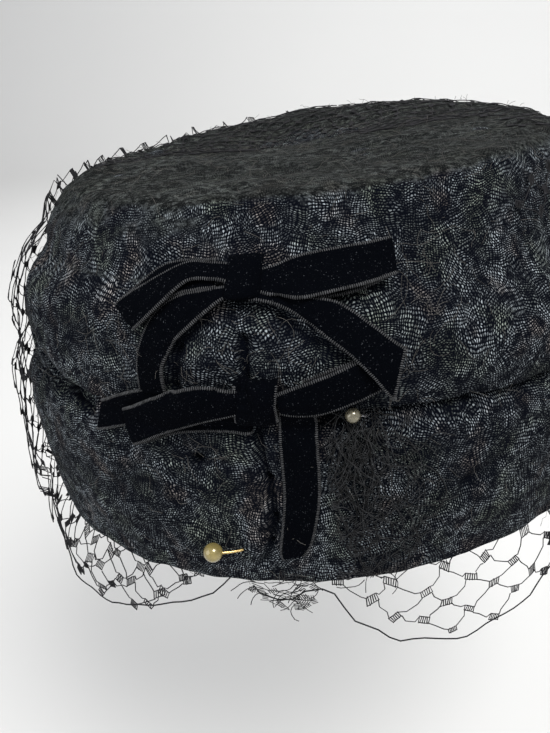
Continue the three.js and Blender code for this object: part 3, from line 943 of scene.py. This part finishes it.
# Sections of each ribbon from end to end. x and z are its middle in millimetres as seen from the
# front, lift is how far it is off the cloth, turn is the angle of its width from +X to +Z, lean
# raises one edge, and wide is its width there as a share of the full width.
RIBBON_COLUMNS = "x z lift turn lean wide"
RIBBONS = {
    "upper_right_loop": table(
        RIBBON_COLUMNS,
        (4.6, 83.6, 2.9, 92, 0, 0.42),
        (9.0, 83.4, 3.3, 95, -6, 0.62),
        (14.0, 83.8, 3.4, 96, -12, 0.84),
        (23.0, 84.4, 3.3, 96, -14, 0.84),
        (32.4, 84.9, 2.9, 96, -10, 0.80),
        (33.8, 84.9, 2.2, 96, -4, 0.80),
        (32.0, 84.2, 1.3, 96, 0, 0.82),
        (22.6, 82.6, 1.0, 96, 0, 0.84),
        (8.0, 81.8, 1.2, 95, 0, 0.50),
    ),
    "upper_left_loop": table(
        RIBBON_COLUMNS,
        (-0.6, 85.4, 3.0, -88, 0, 0.40),
        (-5.0, 86.2, 3.3, -84, 12, 0.36),
        (-11.2, 86.0, 3.2, -74, 32, 0.42),
        (-18.6, 82.0, 2.8, -62, 22, 0.64),
        (-25.8, 77.4, 2.4, -46, 10, 0.80),
        (-27.6, 76.0, 1.7, -40, 4, 0.78),
        (-25.4, 77.8, 1.0, -50, 0, 0.78),
        (-16.0, 84.0, 1.0, -66, 0, 0.70),
        (-5.0, 85.2, 1.1, -84, 0, 0.60),
    ),
    "upper_left_tail": table(
        RIBBON_COLUMNS,
        (-1.2, 82.0, 2.6, -82, 0, 0.26),
        (-4.4, 81.2, 2.0, -80, 4, 0.36),
        (-11.4, 78.4, 1.6, -68, 8, 0.72),
        (-16.8, 74.8, 1.5, -48, 10, 0.86),
        (-20.9, 68.8, 1.4, -18, 10, 0.86),
        (-22.6, 63.6, 1.4, -4, 8, 0.84),
        (-23.0, 57.2, 1.3, 3, 4, 0.84),
    ),
    "upper_right_tail": table(
        RIBBON_COLUMNS,
        (3.6, 81.4, 2.8, 84, 0, 0.30),
        (8.2, 80.3, 2.4, 76, 0, 0.30),
        (14.2, 78.0, 2.0, 62, 4, 0.46),
        (20.6, 74.9, 2.2, 60, 6, 0.78),
        (26.6, 70.2, 3.4, 56, 4, 0.84),
        (31.2, 65.2, 5.2, 60, 2, 0.96),
        (34.0, 61.2, 6.0, 76, 0, 1.30),
    ),
    "lower_left_loop": table(
        RIBBON_COLUMNS,
        (0.4, 57.0, 3.6, -90, 0, 0.62),
        (-2.8, 57.2, 4.0, -90, 0, 0.78),
        (-9.6, 57.1, 4.6, -89, 3, 1.06),
        (-18.7, 53.7, 4.6, -88, 4, 1.10),
        (-28.4, 49.0, 4.0, -80, 2, 1.00),
        (-30.4, 48.0, 3.2, -76, 0, 0.96),
        (-28.4, 48.0, 2.2, -80, 0, 0.96),
        (-17.4, 51.4, 1.5, -88, 0, 0.96),
        (-7.0, 52.2, 1.6, -94, 0, 0.94),
        (1.0, 51.8, 2.0, -94, 0, 0.86),
    ),
    "lower_left_tail": table(
        RIBBON_COLUMNS,
        (-20.0, 55.6, 1.1, -94, 0, 0.80),
        (-26.0, 53.8, 1.1, -94, 0, 0.92),
        (-32.4, 51.4, 1.1, -93, 0, 0.94),
        (-41.4, 48.0, 0.9, -108, 0, 0.94),
    ),
    "lower_right_loop": table(
        RIBBON_COLUMNS,
        (8.0, 56.4, 3.2, 96, 0, 0.60),
        (11.6, 56.8, 3.7, 100, 0, 0.84),
        (16.6, 57.6, 3.9, 104, 0, 1.00),
        (22.6, 59.2, 3.4, 112, 0, 1.00),
        (28.2, 61.0, 2.7, 122, 0, 1.00),
        (29.6, 61.6, 2.0, 124, 0, 0.98),
        (27.4, 60.8, 1.2, 120, 0, 0.96),
        (15.0, 57.4, 1.1, 104, 0, 0.90),
    ),
    "lower_long_tail": table(
        RIBBON_COLUMNS,
        (11.6, 56.0, 2.2, 2, 0, 0.80),
        (11.6, 52.0, 2.2, 2, 0, 0.90),
        (11.4, 47.4, 1.8, 1, 0, 0.93),
        (11.1, 38.0, 1.0, 0, 0, 0.95),
        (10.4, 29.0, 0.9, 1, 0, 0.94),
        (8.8, 20.6, 0.8, 6, 0, 0.92),
        (7.0, 13.6, 0.7, 11, 0, 0.88),
        (6.0, 10.4, 0.7, 14, 0, 0.66),
    ),
}


def bow_node(name):
    """CAD node that a piece of a bow stands for."""
    return name.replace("_", "_bow_", 1)


def velvet():
    return shared("velvet", velvet_finish, bpy.context.scene.hat_ribbon)


def ribbon_edge():
    return shared("ribbon_edge", thread_finish, bpy.context.scene.hat_ribbon.edge, 0.45)


def make_ribbon(name, arch=0.25, ribbed_end=False):
    """A ribbon with its two ribbed edges, as one piece."""
    settings = bpy.context.scene.hat_ribbon
    grid = ribbon_points(RIBBONS[name], settings, arch=arch)
    strip = strip_mesh(name + "_strip", grid, settings, velvet())
    cord = ribbed_edges(name + "_edge", grid, settings, ribbon_edge(), ribbed_end)
    hand_over(join_pieces(name, [strip, cord]), "velvet_ribbon", bow_node(name))


def make_knot(name, x, z, wide, tall, lean, folds, ribbed):
    """Ribbon wrapped upright round the middle of a bow, with soft pleats."""
    settings = bpy.context.scene.hat_ribbon
    rise, columns = 22, 18
    grid = []
    for i in range(rise + 1):
        s = -1 + 2 * i / rise
        roll = math.sqrt(max(1 - abs(s) ** 2.6, 0.0))
        line = []
        for k in range(columns + 1):
            t = -1 + 2 * k / columns
            side = 1 - 0.10 * (1 - abs(s))
            pleat = 0.28 * math.sin(folds * math.pi * t + 1.1 * s) * (1 - abs(t) ** 4)
            bulge = 3.4 * roll * (1 - 0.55 * abs(t) ** 3.2) + pleat * roll
            px = x + t * wide / 2 * side + lean * s
            pz = z + s * tall / 2 * (0.94 + 0.06 * (1 - t * t))
            line.append(Wall.front(px, pz, 2.1 + bulge))
        grid.append(line)
    parts = [strip_mesh(name + "_strip", grid, settings, velvet())]
    if ribbed:
        parts.append(ribbed_edges(name + "_edge", grid[2:-2], settings, ribbon_edge()))
    hand_over(join_pieces(name, parts), "velvet_ribbon", bow_node(name))


# Veil


# How far the hem hangs below the rim, in millimetres, at degrees from the front.
HEM = table(
    "at drop",
    (-180, 11), (-100, 11), (-62, 12), (-50, 20), (-36, 19),
    (-20, 10), (-12, 5), (-6, -2), (5, 2), (20, 21),
    (32, 25), (46, 21), (60, 13), (110, 12), (180, 11),
)
# Mean radius of the wall and its height, in millimetres.
AROUND = 92.0
WALL_TALL = 97.0


def hem_drop(turn):
    """How far the hem hangs below the rim at an angle from the front, in millimetres."""
    turn = (turn + 180) % 360 - 180
    for low, high in zip(HEM, HEM[1:]):
        if turn <= high["at"]:
            t = (turn - low["at"]) / (high["at"] - low["at"])
            return low["drop"] + t * (high["drop"] - low["drop"])
    return HEM[-1]["drop"]


def flare(turn, rise):
    """How far the lower part of the net swings out on the left, in millimetres."""
    face = (turn + 180) % 360 - 180
    return 4.0 * bump_of((face + 66) / 66) * min(max((38 - rise) / 38, 0.0), 1.0)


def hanging(turn, rise, stand):
    """A place on the net over the wall: rise goes up from the rim, and past the top edge it
    goes inwards over the top. stand is how far the net stands off the cloth."""
    shake = noise.noise_vector(Vector((turn * 0.09, rise * 0.11, stand))) * 1.5
    if rise > WALL_TALL:
        edge = Wall.round(turn, WALL_TALL - 3, 0.0) / MM
        flat = Vector((edge.x, edge.y, 0.0))
        inward = flat.normalized() * max(flat.length - (rise - WALL_TALL) - 1.5, 4.0)
        return Wall.above(inward.x, inward.y, 0.35 + abs(shake.z) * 0.25)
    near_top = min(max((WALL_TALL - rise) / 30.0, 0.10), 1.0)
    stand += flare(turn, rise)
    if rise > 3:
        lift = stand * near_top + shake.x * 0.6 * near_top
        place = Wall.round(turn, rise, max(lift, 0.7))
    else:
        place = Wall.round(turn, 3, max(stand * 0.6 + shake.x * 0.6, 0.8))
        out = Vector((place.x, place.y, 0.0)).normalized()
        below = 3 - rise
        place += out * (1.0 - 0.045 * below) * MM * min(below, 6) / 6
        place.z = rise * MM
    return place + Vector((shake.y, 0.0, shake.z)) * 0.4 * MM


def tucked(turn, rise, stand):
    """A place on the net that is caught inside the rim and hangs out below it."""
    shake = noise.noise_vector(Vector((turn * 0.13, rise * 0.16, stand))) * 1.6
    place = Wall.round(turn, 3, 0.0)
    out = Vector((place.x, place.y, 0.0)).normalized()
    if rise > 0:
        reach = -3.4 - 0.05 * rise
    else:
        swing = 0.36 + 0.04 * stand + 0.11 * flare(turn, rise)
        reach = -3.4 + min(-rise, 9) * swing + shake.x * 0.5
    place += out * reach * MM
    place.z = rise * MM
    return place + Vector((shake.y, shake.z, shake.z)) * 0.5 * MM


def main_part(turn, rise):
    """The net over the sides, the back and the rim of the top, open over the bows."""
    face = (turn + 180) % 360 - 180
    if rise < -hem_drop(face) + 1.0:
        return False
    if rise > WALL_TALL + 18:
        return abs(face) > 100 and rise < WALL_TALL + 60
    if rise > WALL_TALL:
        return abs(face) > 74
    return abs(face) > 52 + 5 * math.sin(rise * 0.2)


def left_layer(turn, rise):
    """The second layer of the net on the left."""
    return -hem_drop(turn) - 0.5 < rise < 84 + 6 * math.sin(turn)


def front_hem(turn, rise):
    """The net below the rim in front."""
    return -hem_drop(turn) + 0.5 < rise < 13


# Layers of the net: which knots are kept, what is added to the seed, the stretch in degrees from
# the front and in millimetres up from the rim, how far the net stands off and how it falls.
NET_COLUMNS = "chooser seed turns rises stand shape"
MAIN_NET = table(
    NET_COLUMNS,
    (main_part, 0, (-180.0, 179.0), (-20.0, 158.0), 3.2, hanging),
)
FURTHER_NET = table(
    NET_COLUMNS,
    (left_layer, 3, (-128.0, -60.0), (-11.0, 88.0), 4.8, hanging),
    (front_hem, 5, (-66.0, 66.0), (-26.0, 14.0), 1.0, tucked),
    (front_hem, 8, (-64.0, -8.0), (-13.0, 14.0), 2.5, tucked),
)
HEM_THREADS = table(
    "turns stand shape",
    ((16.0, 66.0), 1.0, tucked),
    ((-180.0, -58.0), 3.0, hanging),
    ((62.0, 180.0), 3.0, hanging),
    ((-66.0, -6.0), 1.0, tucked),
)
# Where the gathered edge of the net runs under the rim, x and z in millimetres.
GATHERED = (
    (-6, 0), (-4.5, -2.4), (0, -4.2), (4, -4), (7.5, -1.4), (12, -0.8), (15, -2.6), (17, -7),
    (19.5, -12),
)


def net_lines(settings, chooser, seed, turns, rises, stand, shape):
    """Threads of one layer of the net: slanting threads that meet in small blocks of six
    upright stitches."""
    rand = random.Random(settings.seed + seed)
    wide, tall = settings.cell_wide / MM, settings.cell_tall / MM
    nodes = {}
    columns = int((turns[1] - turns[0]) * math.pi / 180 * AROUND / (wide / 2))
    levels = int((rises[1] - rises[0]) / (tall / 2))
    for j in range(levels + 1):
        for i in range(columns + 1):
            if (i + j) % 2:
                continue
            turn = turns[0] + math.degrees(i * wide / 2 / AROUND)
            rise = rises[0] + j * tall / 2
            turn += rand.uniform(-0.9, 0.9)
            rise += rand.uniform(-1.0, 1.0)
            if chooser(turn, rise):
                nodes[i, j] = (turn, rise, rand.uniform(-0.6, 0.6))
    lines = []

    def at(turn, rise, side, up, lean):
        across = side * math.cos(lean) - up * math.sin(lean)
        along = side * math.sin(lean) + up * math.cos(lean)
        return shape(turn + math.degrees(across / AROUND), rise + along, stand)

    for (i, j), (turn, rise, lean) in nodes.items():
        half, side = rand.uniform(0.7, 1.0), rand.uniform(1.2, 1.7)
        for up in (-half, half):
            lines.append([at(turn, rise, side * s, up, lean) for s in (-1, -0.3, 0.3, 1)])
        for k in range(6):
            s = side * (k / 2.5 - 1)
            over = rand.uniform(1.0, 1.3)
            tilt = rand.uniform(-0.15, 0.15)
            lines.append([
                at(turn, rise, s - tilt, -half * over, lean),
                at(turn, rise, s + tilt, half * over, lean)])
        for step in (1, -1):
            key = (i + step, j + 1)
            if key not in nodes:
                continue
            to_turn, to_rise, to_lean = nodes[key]
            start = at(turn, rise, side * step, half, lean)
            stop = at(to_turn, to_rise, -side * step, -half, to_lean)
            sag = rand.uniform(0.2, 1.0)
            line = [start]
            for t in (0.33, 0.67):
                mid_turn = turn + (to_turn - turn) * t
                mid_rise = rise + (to_rise - rise) * t - sag * math.sin(math.pi * t)
                line.append(shape(mid_turn, mid_rise, stand))
            line.append(stop)
            lines.append(line)
    return lines


def under_rim(x, z):
    """A place below the cloth's lower edge in front."""
    return Wall.front(x, 1.5, 0.6) + Vector((0.0, 0.0, (z - 1.5) * MM))


def hem_line(turns, stand, shape):
    count = int((turns[1] - turns[0]) / 2)
    line = []
    for k in range(count + 1):
        turn = turns[0] + (turns[1] - turns[0]) * k / count
        wobble = noise.noise(Vector((turn * 0.15, 0.0, 0.0))) * 1.6
        line.append(shape(turn, wobble - hem_drop(turn), stand))
    return line


def wandering(rand, x, z, heading, length, curl, drop=0.0):
    """A loose thread in front of the hat that keeps changing its way."""
    line = []
    steps = max(int(length / 1.1), 4)
    turning = rand.uniform(-curl, curl)
    lift = rand.uniform(0.5, 1.6)
    for i in range(steps + 1):
        low = min(z - 1.5, 0.0)
        line.append(Wall.front(x, max(z, 1.5), lift) + Vector((0.0, 0.0, low * MM)))
        turning = 0.8 * turning + rand.uniform(-curl, curl)
        heading += turning
        heading += drop * math.sin(-math.pi / 2 - heading)
        lift = min(max(lift + rand.uniform(-0.35, 0.35), 0.4), 2.6)
        x += length / steps * math.cos(heading)
        z += length / steps * math.sin(heading)
        if x < 16.8 and 9 < z < 50 and drop and i > 0:
            break
    return line


def small_block(rand, x, z, lean):
    """Block of stitches where net threads meet, in front of the hat."""
    lines = []
    low = min(z - 2.5, 0.0)
    z = max(z, 2.5)
    lift = rand.uniform(0.8, 1.8)
    for k in range(5):
        shift = (k - 2) * 0.55
        ox, oz = shift * math.cos(lean), shift * math.sin(lean)
        ax, az = -0.8 * math.sin(lean), 0.8 * math.cos(lean)
        lines.append([
            Wall.front(x + ox + side * ax, z + oz + side * az, lift)
            + Vector((0.0, 0.0, low * MM)) for side in (-1, 1)])
    return lines


# Patches of the front that loose threads are strewn over: how many threads, the patch and the
# shortest and longest thread in millimetres, how fast they turn and how strongly they fall.
PATCH_COLUMNS = "count left right low high short long curl drop"
TANGLE = table(PATCH_COLUMNS, (70, 16.5, 38, 0, 50, 5, 14, 0.32, 0.04))
LINT = table(
    PATCH_COLUMNS,
    (26, 33, 44, 58, 90, 3, 10, 0.30, 0),
    (20, -42, -28, 56, 80, 3, 9, 0.30, 0),
    (24, -16, 14, 58, 76, 2, 8, 0.35, 0),
    (12, -19, -8, 34, 46, 3, 8, 0.30, 0),
)


def strewn_threads(rand, patches):
    lines = []
    for patch in patches:
        for _ in range(patch["count"]):
            x = rand.uniform(patch["left"], patch["right"])
            z = rand.uniform(patch["low"], patch["high"])
            heading, length = rand.uniform(0, 6.28), rand.uniform(patch["short"], patch["long"])
            lines.append(wandering(rand, x, z, heading, length, patch["curl"], patch["drop"]))
    return lines


def strewn_blocks(rand, count, left, right, low, high):
    lines = []
    for _ in range(count):
        x, z = rand.uniform(left, right), rand.uniform(low, high)
        lines += small_block(rand, x, z, rand.uniform(0, 3.14))
    return lines


def tangle_lines(rand):
    """Gathered net and loose ends that fall from the small bead to the rim."""
    lines = []
    falling = 60
    for k in range(falling):
        x, z = 24.0 + rand.uniform(-5, 6), 50.0 + rand.uniform(-9, 2)
        heading = math.radians(-150 + 105 * k / (falling - 1) + rand.uniform(-22, 22))
        lines.append(wandering(rand, x, z, heading, rand.uniform(16, 52), 0.13, 0.10))
    lines += strewn_threads(rand, TANGLE)
    lines += strewn_blocks(rand, 34, 17, 37, 2, 48)
    for k in range(34):
        x, z = rand.uniform(-7, 9), rand.uniform(-4.5, 2.5)
        heading = rand.uniform(-0.5, 0.5) + math.pi * (k % 2)
        lines.append(wandering(rand, x, z, heading, rand.uniform(4, 11), 0.22))
    return lines + strewn_blocks(rand, 16, -6, 11, -6, 0)


def lint_lines(rand):
    """Single hairs caught on the bows and on the cloth round them."""
    lines = [
        wandering(rand, -4.0, 61.0, -2.0, 17.0, 0.10),
        wandering(rand, 8.0, 58.0, -2.4, 12.0, 0.12),
        wandering(rand, 37.0, 84.0, -1.4, 14.0, 0.25),
    ]
    return lines + strewn_threads(rand, LINT)


# Operators


class HAT_OT_cloth(bpy.types.Operator):
    """Crown and band of draped straw cloth"""

    bl_idname = "hat.cloth"
    bl_label = "Cloth"

    def execute(self, context):
        settings = context.scene.hat_cloth
        crown_straw = straw_finish("straw_crown", settings, 1.0)
        band_straw = straw_finish("straw_band", settings, 0.0)
        crown = cloth_from("crown", "crown_cloth", settings, crown_straw)
        band = cloth_from("band", "band_cloth", settings, band_straw)
        hand_over(crown, "straw_cloth", "crown")
        hand_over(band, "straw_cloth", "band")
        Wall.build([crown, band])
        return {"FINISHED"}


class HAT_OT_upper_bow(bpy.types.Operator):
    """Upper velvet bow with its two tails"""

    bl_idname = "hat.upper_bow"
    bl_label = "Upper Bow"

    def execute(self, context):
        make_ribbon("upper_right_loop")
        make_ribbon("upper_left_loop")
        make_ribbon("upper_left_tail")
        make_ribbon("upper_right_tail", ribbed_end=True)
        make_knot("upper_knot", x=2.0, z=84.5, wide=8.0, tall=8.4, lean=0.3, folds=1.6, ribbed=False)
        return {"FINISHED"}


class HAT_OT_lower_bow(bpy.types.Operator):
    """Lower velvet bow with its short tail and its long tail"""

    bl_idname = "hat.lower_bow"
    bl_label = "Lower Bow"

    def execute(self, context):
        make_ribbon("lower_left_tail")
        make_ribbon("lower_left_loop", arch=0.5)
        make_ribbon("lower_right_loop")
        make_ribbon("lower_long_tail")
        make_knot("lower_knot", x=2.9, z=56.4, wide=10.4, tall=12.4, lean=0.6, folds=2.2, ribbed=True)
        return {"FINISHED"}


# Where the shafts run, as x, z and how far off the cloth, in millimetres.
PEARL_SHAFT = ((-11.9, 12.7, 2.6), (-9.6, 12.5, 1.9), (-7.6, 12.2, 0.6), (-6.6, 12.1, -0.8))
BEAD_SHAFT = ((25.6, 50.2, 2.2), (26.8, 49.4, 1.2), (27.8, 48.8, -0.6))


def turned_ball(name, node, finish):
    """Ball a little flattened at its drilled ends, in the place of its CAD node."""
    low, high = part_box(node)
    middle = (Vector(low) + Vector(high)) / 2
    radius = (high[0] - low[0]) / 2
    work = bmesh.new()
    bmesh.ops.create_uvsphere(work, u_segments=40, v_segments=24, radius=radius)
    for vert in work.verts:
        near_end = max(abs(vert.co.z) / radius - 0.86, 0.0)
        vert.co.z *= 1.0 - 0.5 * near_end
        vert.co *= 1.0 + noise.noise(vert.co * 900.0) * 0.012
    bmesh.ops.translate(work, verts=work.verts, vec=middle)
    mesh = bpy.data.meshes.new(name)
    work.to_mesh(mesh)
    work.free()
    mesh.materials.append(finish)
    mesh.shade_smooth()
    return new_object(name, mesh)


class HAT_OT_pins(bpy.types.Operator):
    """Pearl pin and small bead pin"""

    bl_idname = "hat.pins"
    bl_label = "Pins"

    def execute(self, context):
        settings = context.scene.hat_pins
        pearl = pearl_finish("pearl", settings.pearl, 0.15, False)
        bead = pearl_finish("bead", settings.bead, 0.55, True)
        brass = metal_finish("pin_brass", (0.72, 0.52, 0.22), 0.22)
        steel = metal_finish("pin_steel", (0.55, 0.55, 0.58), 0.25)
        for name, finish, slot in (("pearl", pearl, "pearl"), ("bead", bead, "bead_silver")):
            node = name + "_pin_head"
            hand_over(turned_ball(name + "_head", node, finish), slot, node)
        for name, metal, slot, places in (
                ("pearl", brass, "pin_brass", PEARL_SHAFT), ("bead", steel, "pin_steel", BEAD_SHAFT)):
            line = [Wall.front(*place) for place in places]
            shaft = threads(name + "_shaft", [line], SHAFT_RADIUS, 12, metal)
            hand_over(shaft, slot, name + "_pin_shaft")
        return {"FINISHED"}


class HAT_OT_veil(bpy.types.Operator):
    """Net veil with its hem, its gathered part and stray threads"""

    bl_idname = "hat.veil"
    bl_label = "Veil"

    def execute(self, context):
        settings = context.scene.hat_veil
        noise.seed_set(settings.seed)
        black = shared("net_thread", thread_finish, settings.black, 0.4)
        worn = shared("net_worn", thread_finish, (0.014, 0.0145, 0.0155), 0.85)
        for name, layers, nodes in (("veil_net", MAIN_NET, ["veil"]), ("veil_layers", FURTHER_NET, [])):
            lines = [line for layer in layers for line in net_lines(settings, **layer)]
            hand_over(threads(name, lines, settings.thread, 4, black), "net", *nodes)
        cords = [hem_line(**row) for row in HEM_THREADS]
        cords[0] = [under_rim(x, z) for x, z in GATHERED] + cords[0]
        hand_over(threads("veil_hem", cords, settings.cord, 6, black), "net")
        loose = tangle_lines(random.Random(settings.seed))
        hand_over(threads("veil_gathered", loose, settings.thread * 0.72, 4, worn), "net")
        return {"FINISHED"}


class HAT_OT_fibres(bpy.types.Operator):
    """Loose straw fibres and lint"""

    bl_idname = "hat.fibres"
    bl_label = "Fibres"

    def execute(self, context):
        straw = shared("fibre", thread_finish, context.scene.hat_veil.fibre, 0.5)
        for row in LOOSE_FIBRES:
            hand_over(loose_fibres(**row, radius=FIBRE_RADIUS, material=straw), "straw_cloth")
        lint = threads("lint", lint_lines(random.Random(4)), LINT_RADIUS, 3, straw)
        hand_over(lint, "straw_cloth")
        return {"FINISHED"}


def sweep_panel(name, wide, deep, tall, finish, floor_z):
    """Floor that turns up into a backdrop in one smooth curve."""
    rows = [(-deep, 0.0)]
    for k in range(13):
        turn = math.radians(90 * k / 12)
        rows.append((deep + 0.5 * math.sin(turn), 0.5 - 0.5 * math.cos(turn)))
    rows.append((deep + 0.5, tall))
    points = [(side * wide, y, floor_z + z) for y, z in rows for side in (-1, 1)]
    faces = [(2 * i, 2 * i + 1, 2 * i + 3, 2 * i + 2) for i in range(len(rows) - 1)]
    mesh = bpy.data.meshes.new(name)
    mesh.from_pydata(points, [], faces)
    mesh.materials.append(finish)
    mesh.shade_smooth()
    return new_object(name, mesh)


CENTRE = (0.0, 0.0, 0.05)
LIGHTS = table(
    "name place target size power colour",
    ("key", (0.55, -0.75, 1.15), CENTRE, 0.7, 21.0, (1.0, 0.99, 0.97)),
    ("fill", (-1.1, -0.9, 0.5), CENTRE, 1.2, 10.0, (0.95, 0.97, 1.0)),
    ("wash", (0.2, 0.75, 0.75), (0.1, 1.3, -0.1), 0.9, 9.0, (1.0, 1.0, 0.99)),
    ("back", (0.3, 1.0, 1.1), CENTRE, 1.0, 5.0, (1.0, 0.98, 0.95)),
)


def add_light(name, place, target, size, power, colour):
    light = bpy.data.lights.new(name, "AREA")
    light.shape = "DISK"
    light.size = size
    light.energy = power
    light.color = colour
    made = new_object(name, light)
    made.location = place
    aim = Vector(target) - Vector(place)
    made.rotation_euler = aim.to_track_quat("-Z", "Y").to_euler()


class HAT_OT_stage(bpy.types.Operator):
    """Camera, floor and light"""

    bl_idname = "hat.stage"
    bl_label = "Stage"

    def execute(self, context):
        settings = context.scene.hat_stage
        heading, pitch, roll = settings.heading, settings.pitch, settings.roll
        ahead = Vector((math.sin(heading) * math.cos(pitch),
                        math.cos(heading) * math.cos(pitch), math.sin(pitch)))
        side = Vector((math.cos(heading), -math.sin(heading), 0.0))
        rise = side.cross(ahead)
        right = side * math.cos(roll) + rise * math.sin(roll)
        up = rise * math.cos(roll) - side * math.sin(roll)
        turn = Matrix((right, up, -ahead)).transposed().to_4x4()
        data = bpy.data.cameras.new("camera")
        data.lens = settings.lens
        data.sensor_width = 36.0
        data.clip_start, data.clip_end = 0.01, 20.0
        camera = new_object("camera", data)
        camera.matrix_world = Matrix.Translation(settings.camera_at) @ turn
        context.scene.camera = camera
        paper = paper_finish("paper", (0.63, 0.63, 0.625))
        sweep_panel("floor", 3.0, 1.4, 3.0, paper, settings.floor_height)
        for row in LIGHTS:
            add_light(**row)
        world = bpy.data.worlds.new("world")
        world.use_nodes = True
        sky = world.node_tree.nodes["Background"]
        sky.inputs["Color"].default_value = (0.96, 0.97, 1.0, 1.0)
        sky.inputs["Strength"].default_value = 0.55
        context.scene.world = world
        context.scene.view_settings.view_transform = "Standard"
        return {"FINISHED"}


class HAT_PT_panel(bpy.types.Panel):
    """Lists the hat's settings and the pieces in the order they are made"""

    bl_idname = "HAT_PT_panel"
    bl_label = "Pillbox Hat"
    bl_space_type = "VIEW_3D"
    bl_region_type = "UI"
    bl_category = "Hat"

    def draw(self, context):
        scene = context.scene
        groups = (
            (scene.hat_cloth, (HAT_OT_cloth,)),
            (scene.hat_ribbon, (HAT_OT_upper_bow, HAT_OT_lower_bow)),
            (scene.hat_pins, (HAT_OT_pins,)),
            (scene.hat_veil, (HAT_OT_veil, HAT_OT_fibres)),
            (scene.hat_stage, (HAT_OT_stage,)),
        )
        for settings, operators in groups:
            box = self.layout.box()
            for key in settings.__annotations__:
                box.prop(settings, key)
            for operator in operators:
                box.operator(operator.bl_idname)


SETTINGS = {
    "hat_cloth": ClothSettings,
    "hat_ribbon": RibbonSettings,
    "hat_veil": VeilSettings,
    "hat_pins": PinSettings,
    "hat_stage": StageSettings,
}
OPERATORS = (
    HAT_OT_stage,
    HAT_OT_cloth,
    HAT_OT_upper_bow,
    HAT_OT_lower_bow,
    HAT_OT_pins,
    HAT_OT_veil,
    HAT_OT_fibres,
)


def register():
    for cls in (*SETTINGS.values(), *OPERATORS, HAT_PT_panel):
        bpy.utils.register_class(cls)
    for key, cls in SETTINGS.items():
        setattr(bpy.types.Scene, key, PointerProperty(type=cls))


def unregister():
    for key in SETTINGS:
        delattr(bpy.types.Scene, key)
    for cls in reversed((*SETTINGS.values(), *OPERATORS, HAT_PT_panel)):
        bpy.utils.unregister_class(cls)


def main():
    register()
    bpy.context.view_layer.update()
    for operator in OPERATORS:
        group, action = operator.bl_idname.split(".")
        getattr(getattr(bpy.ops, group), action)()


if __name__ == "__main__":
    main()
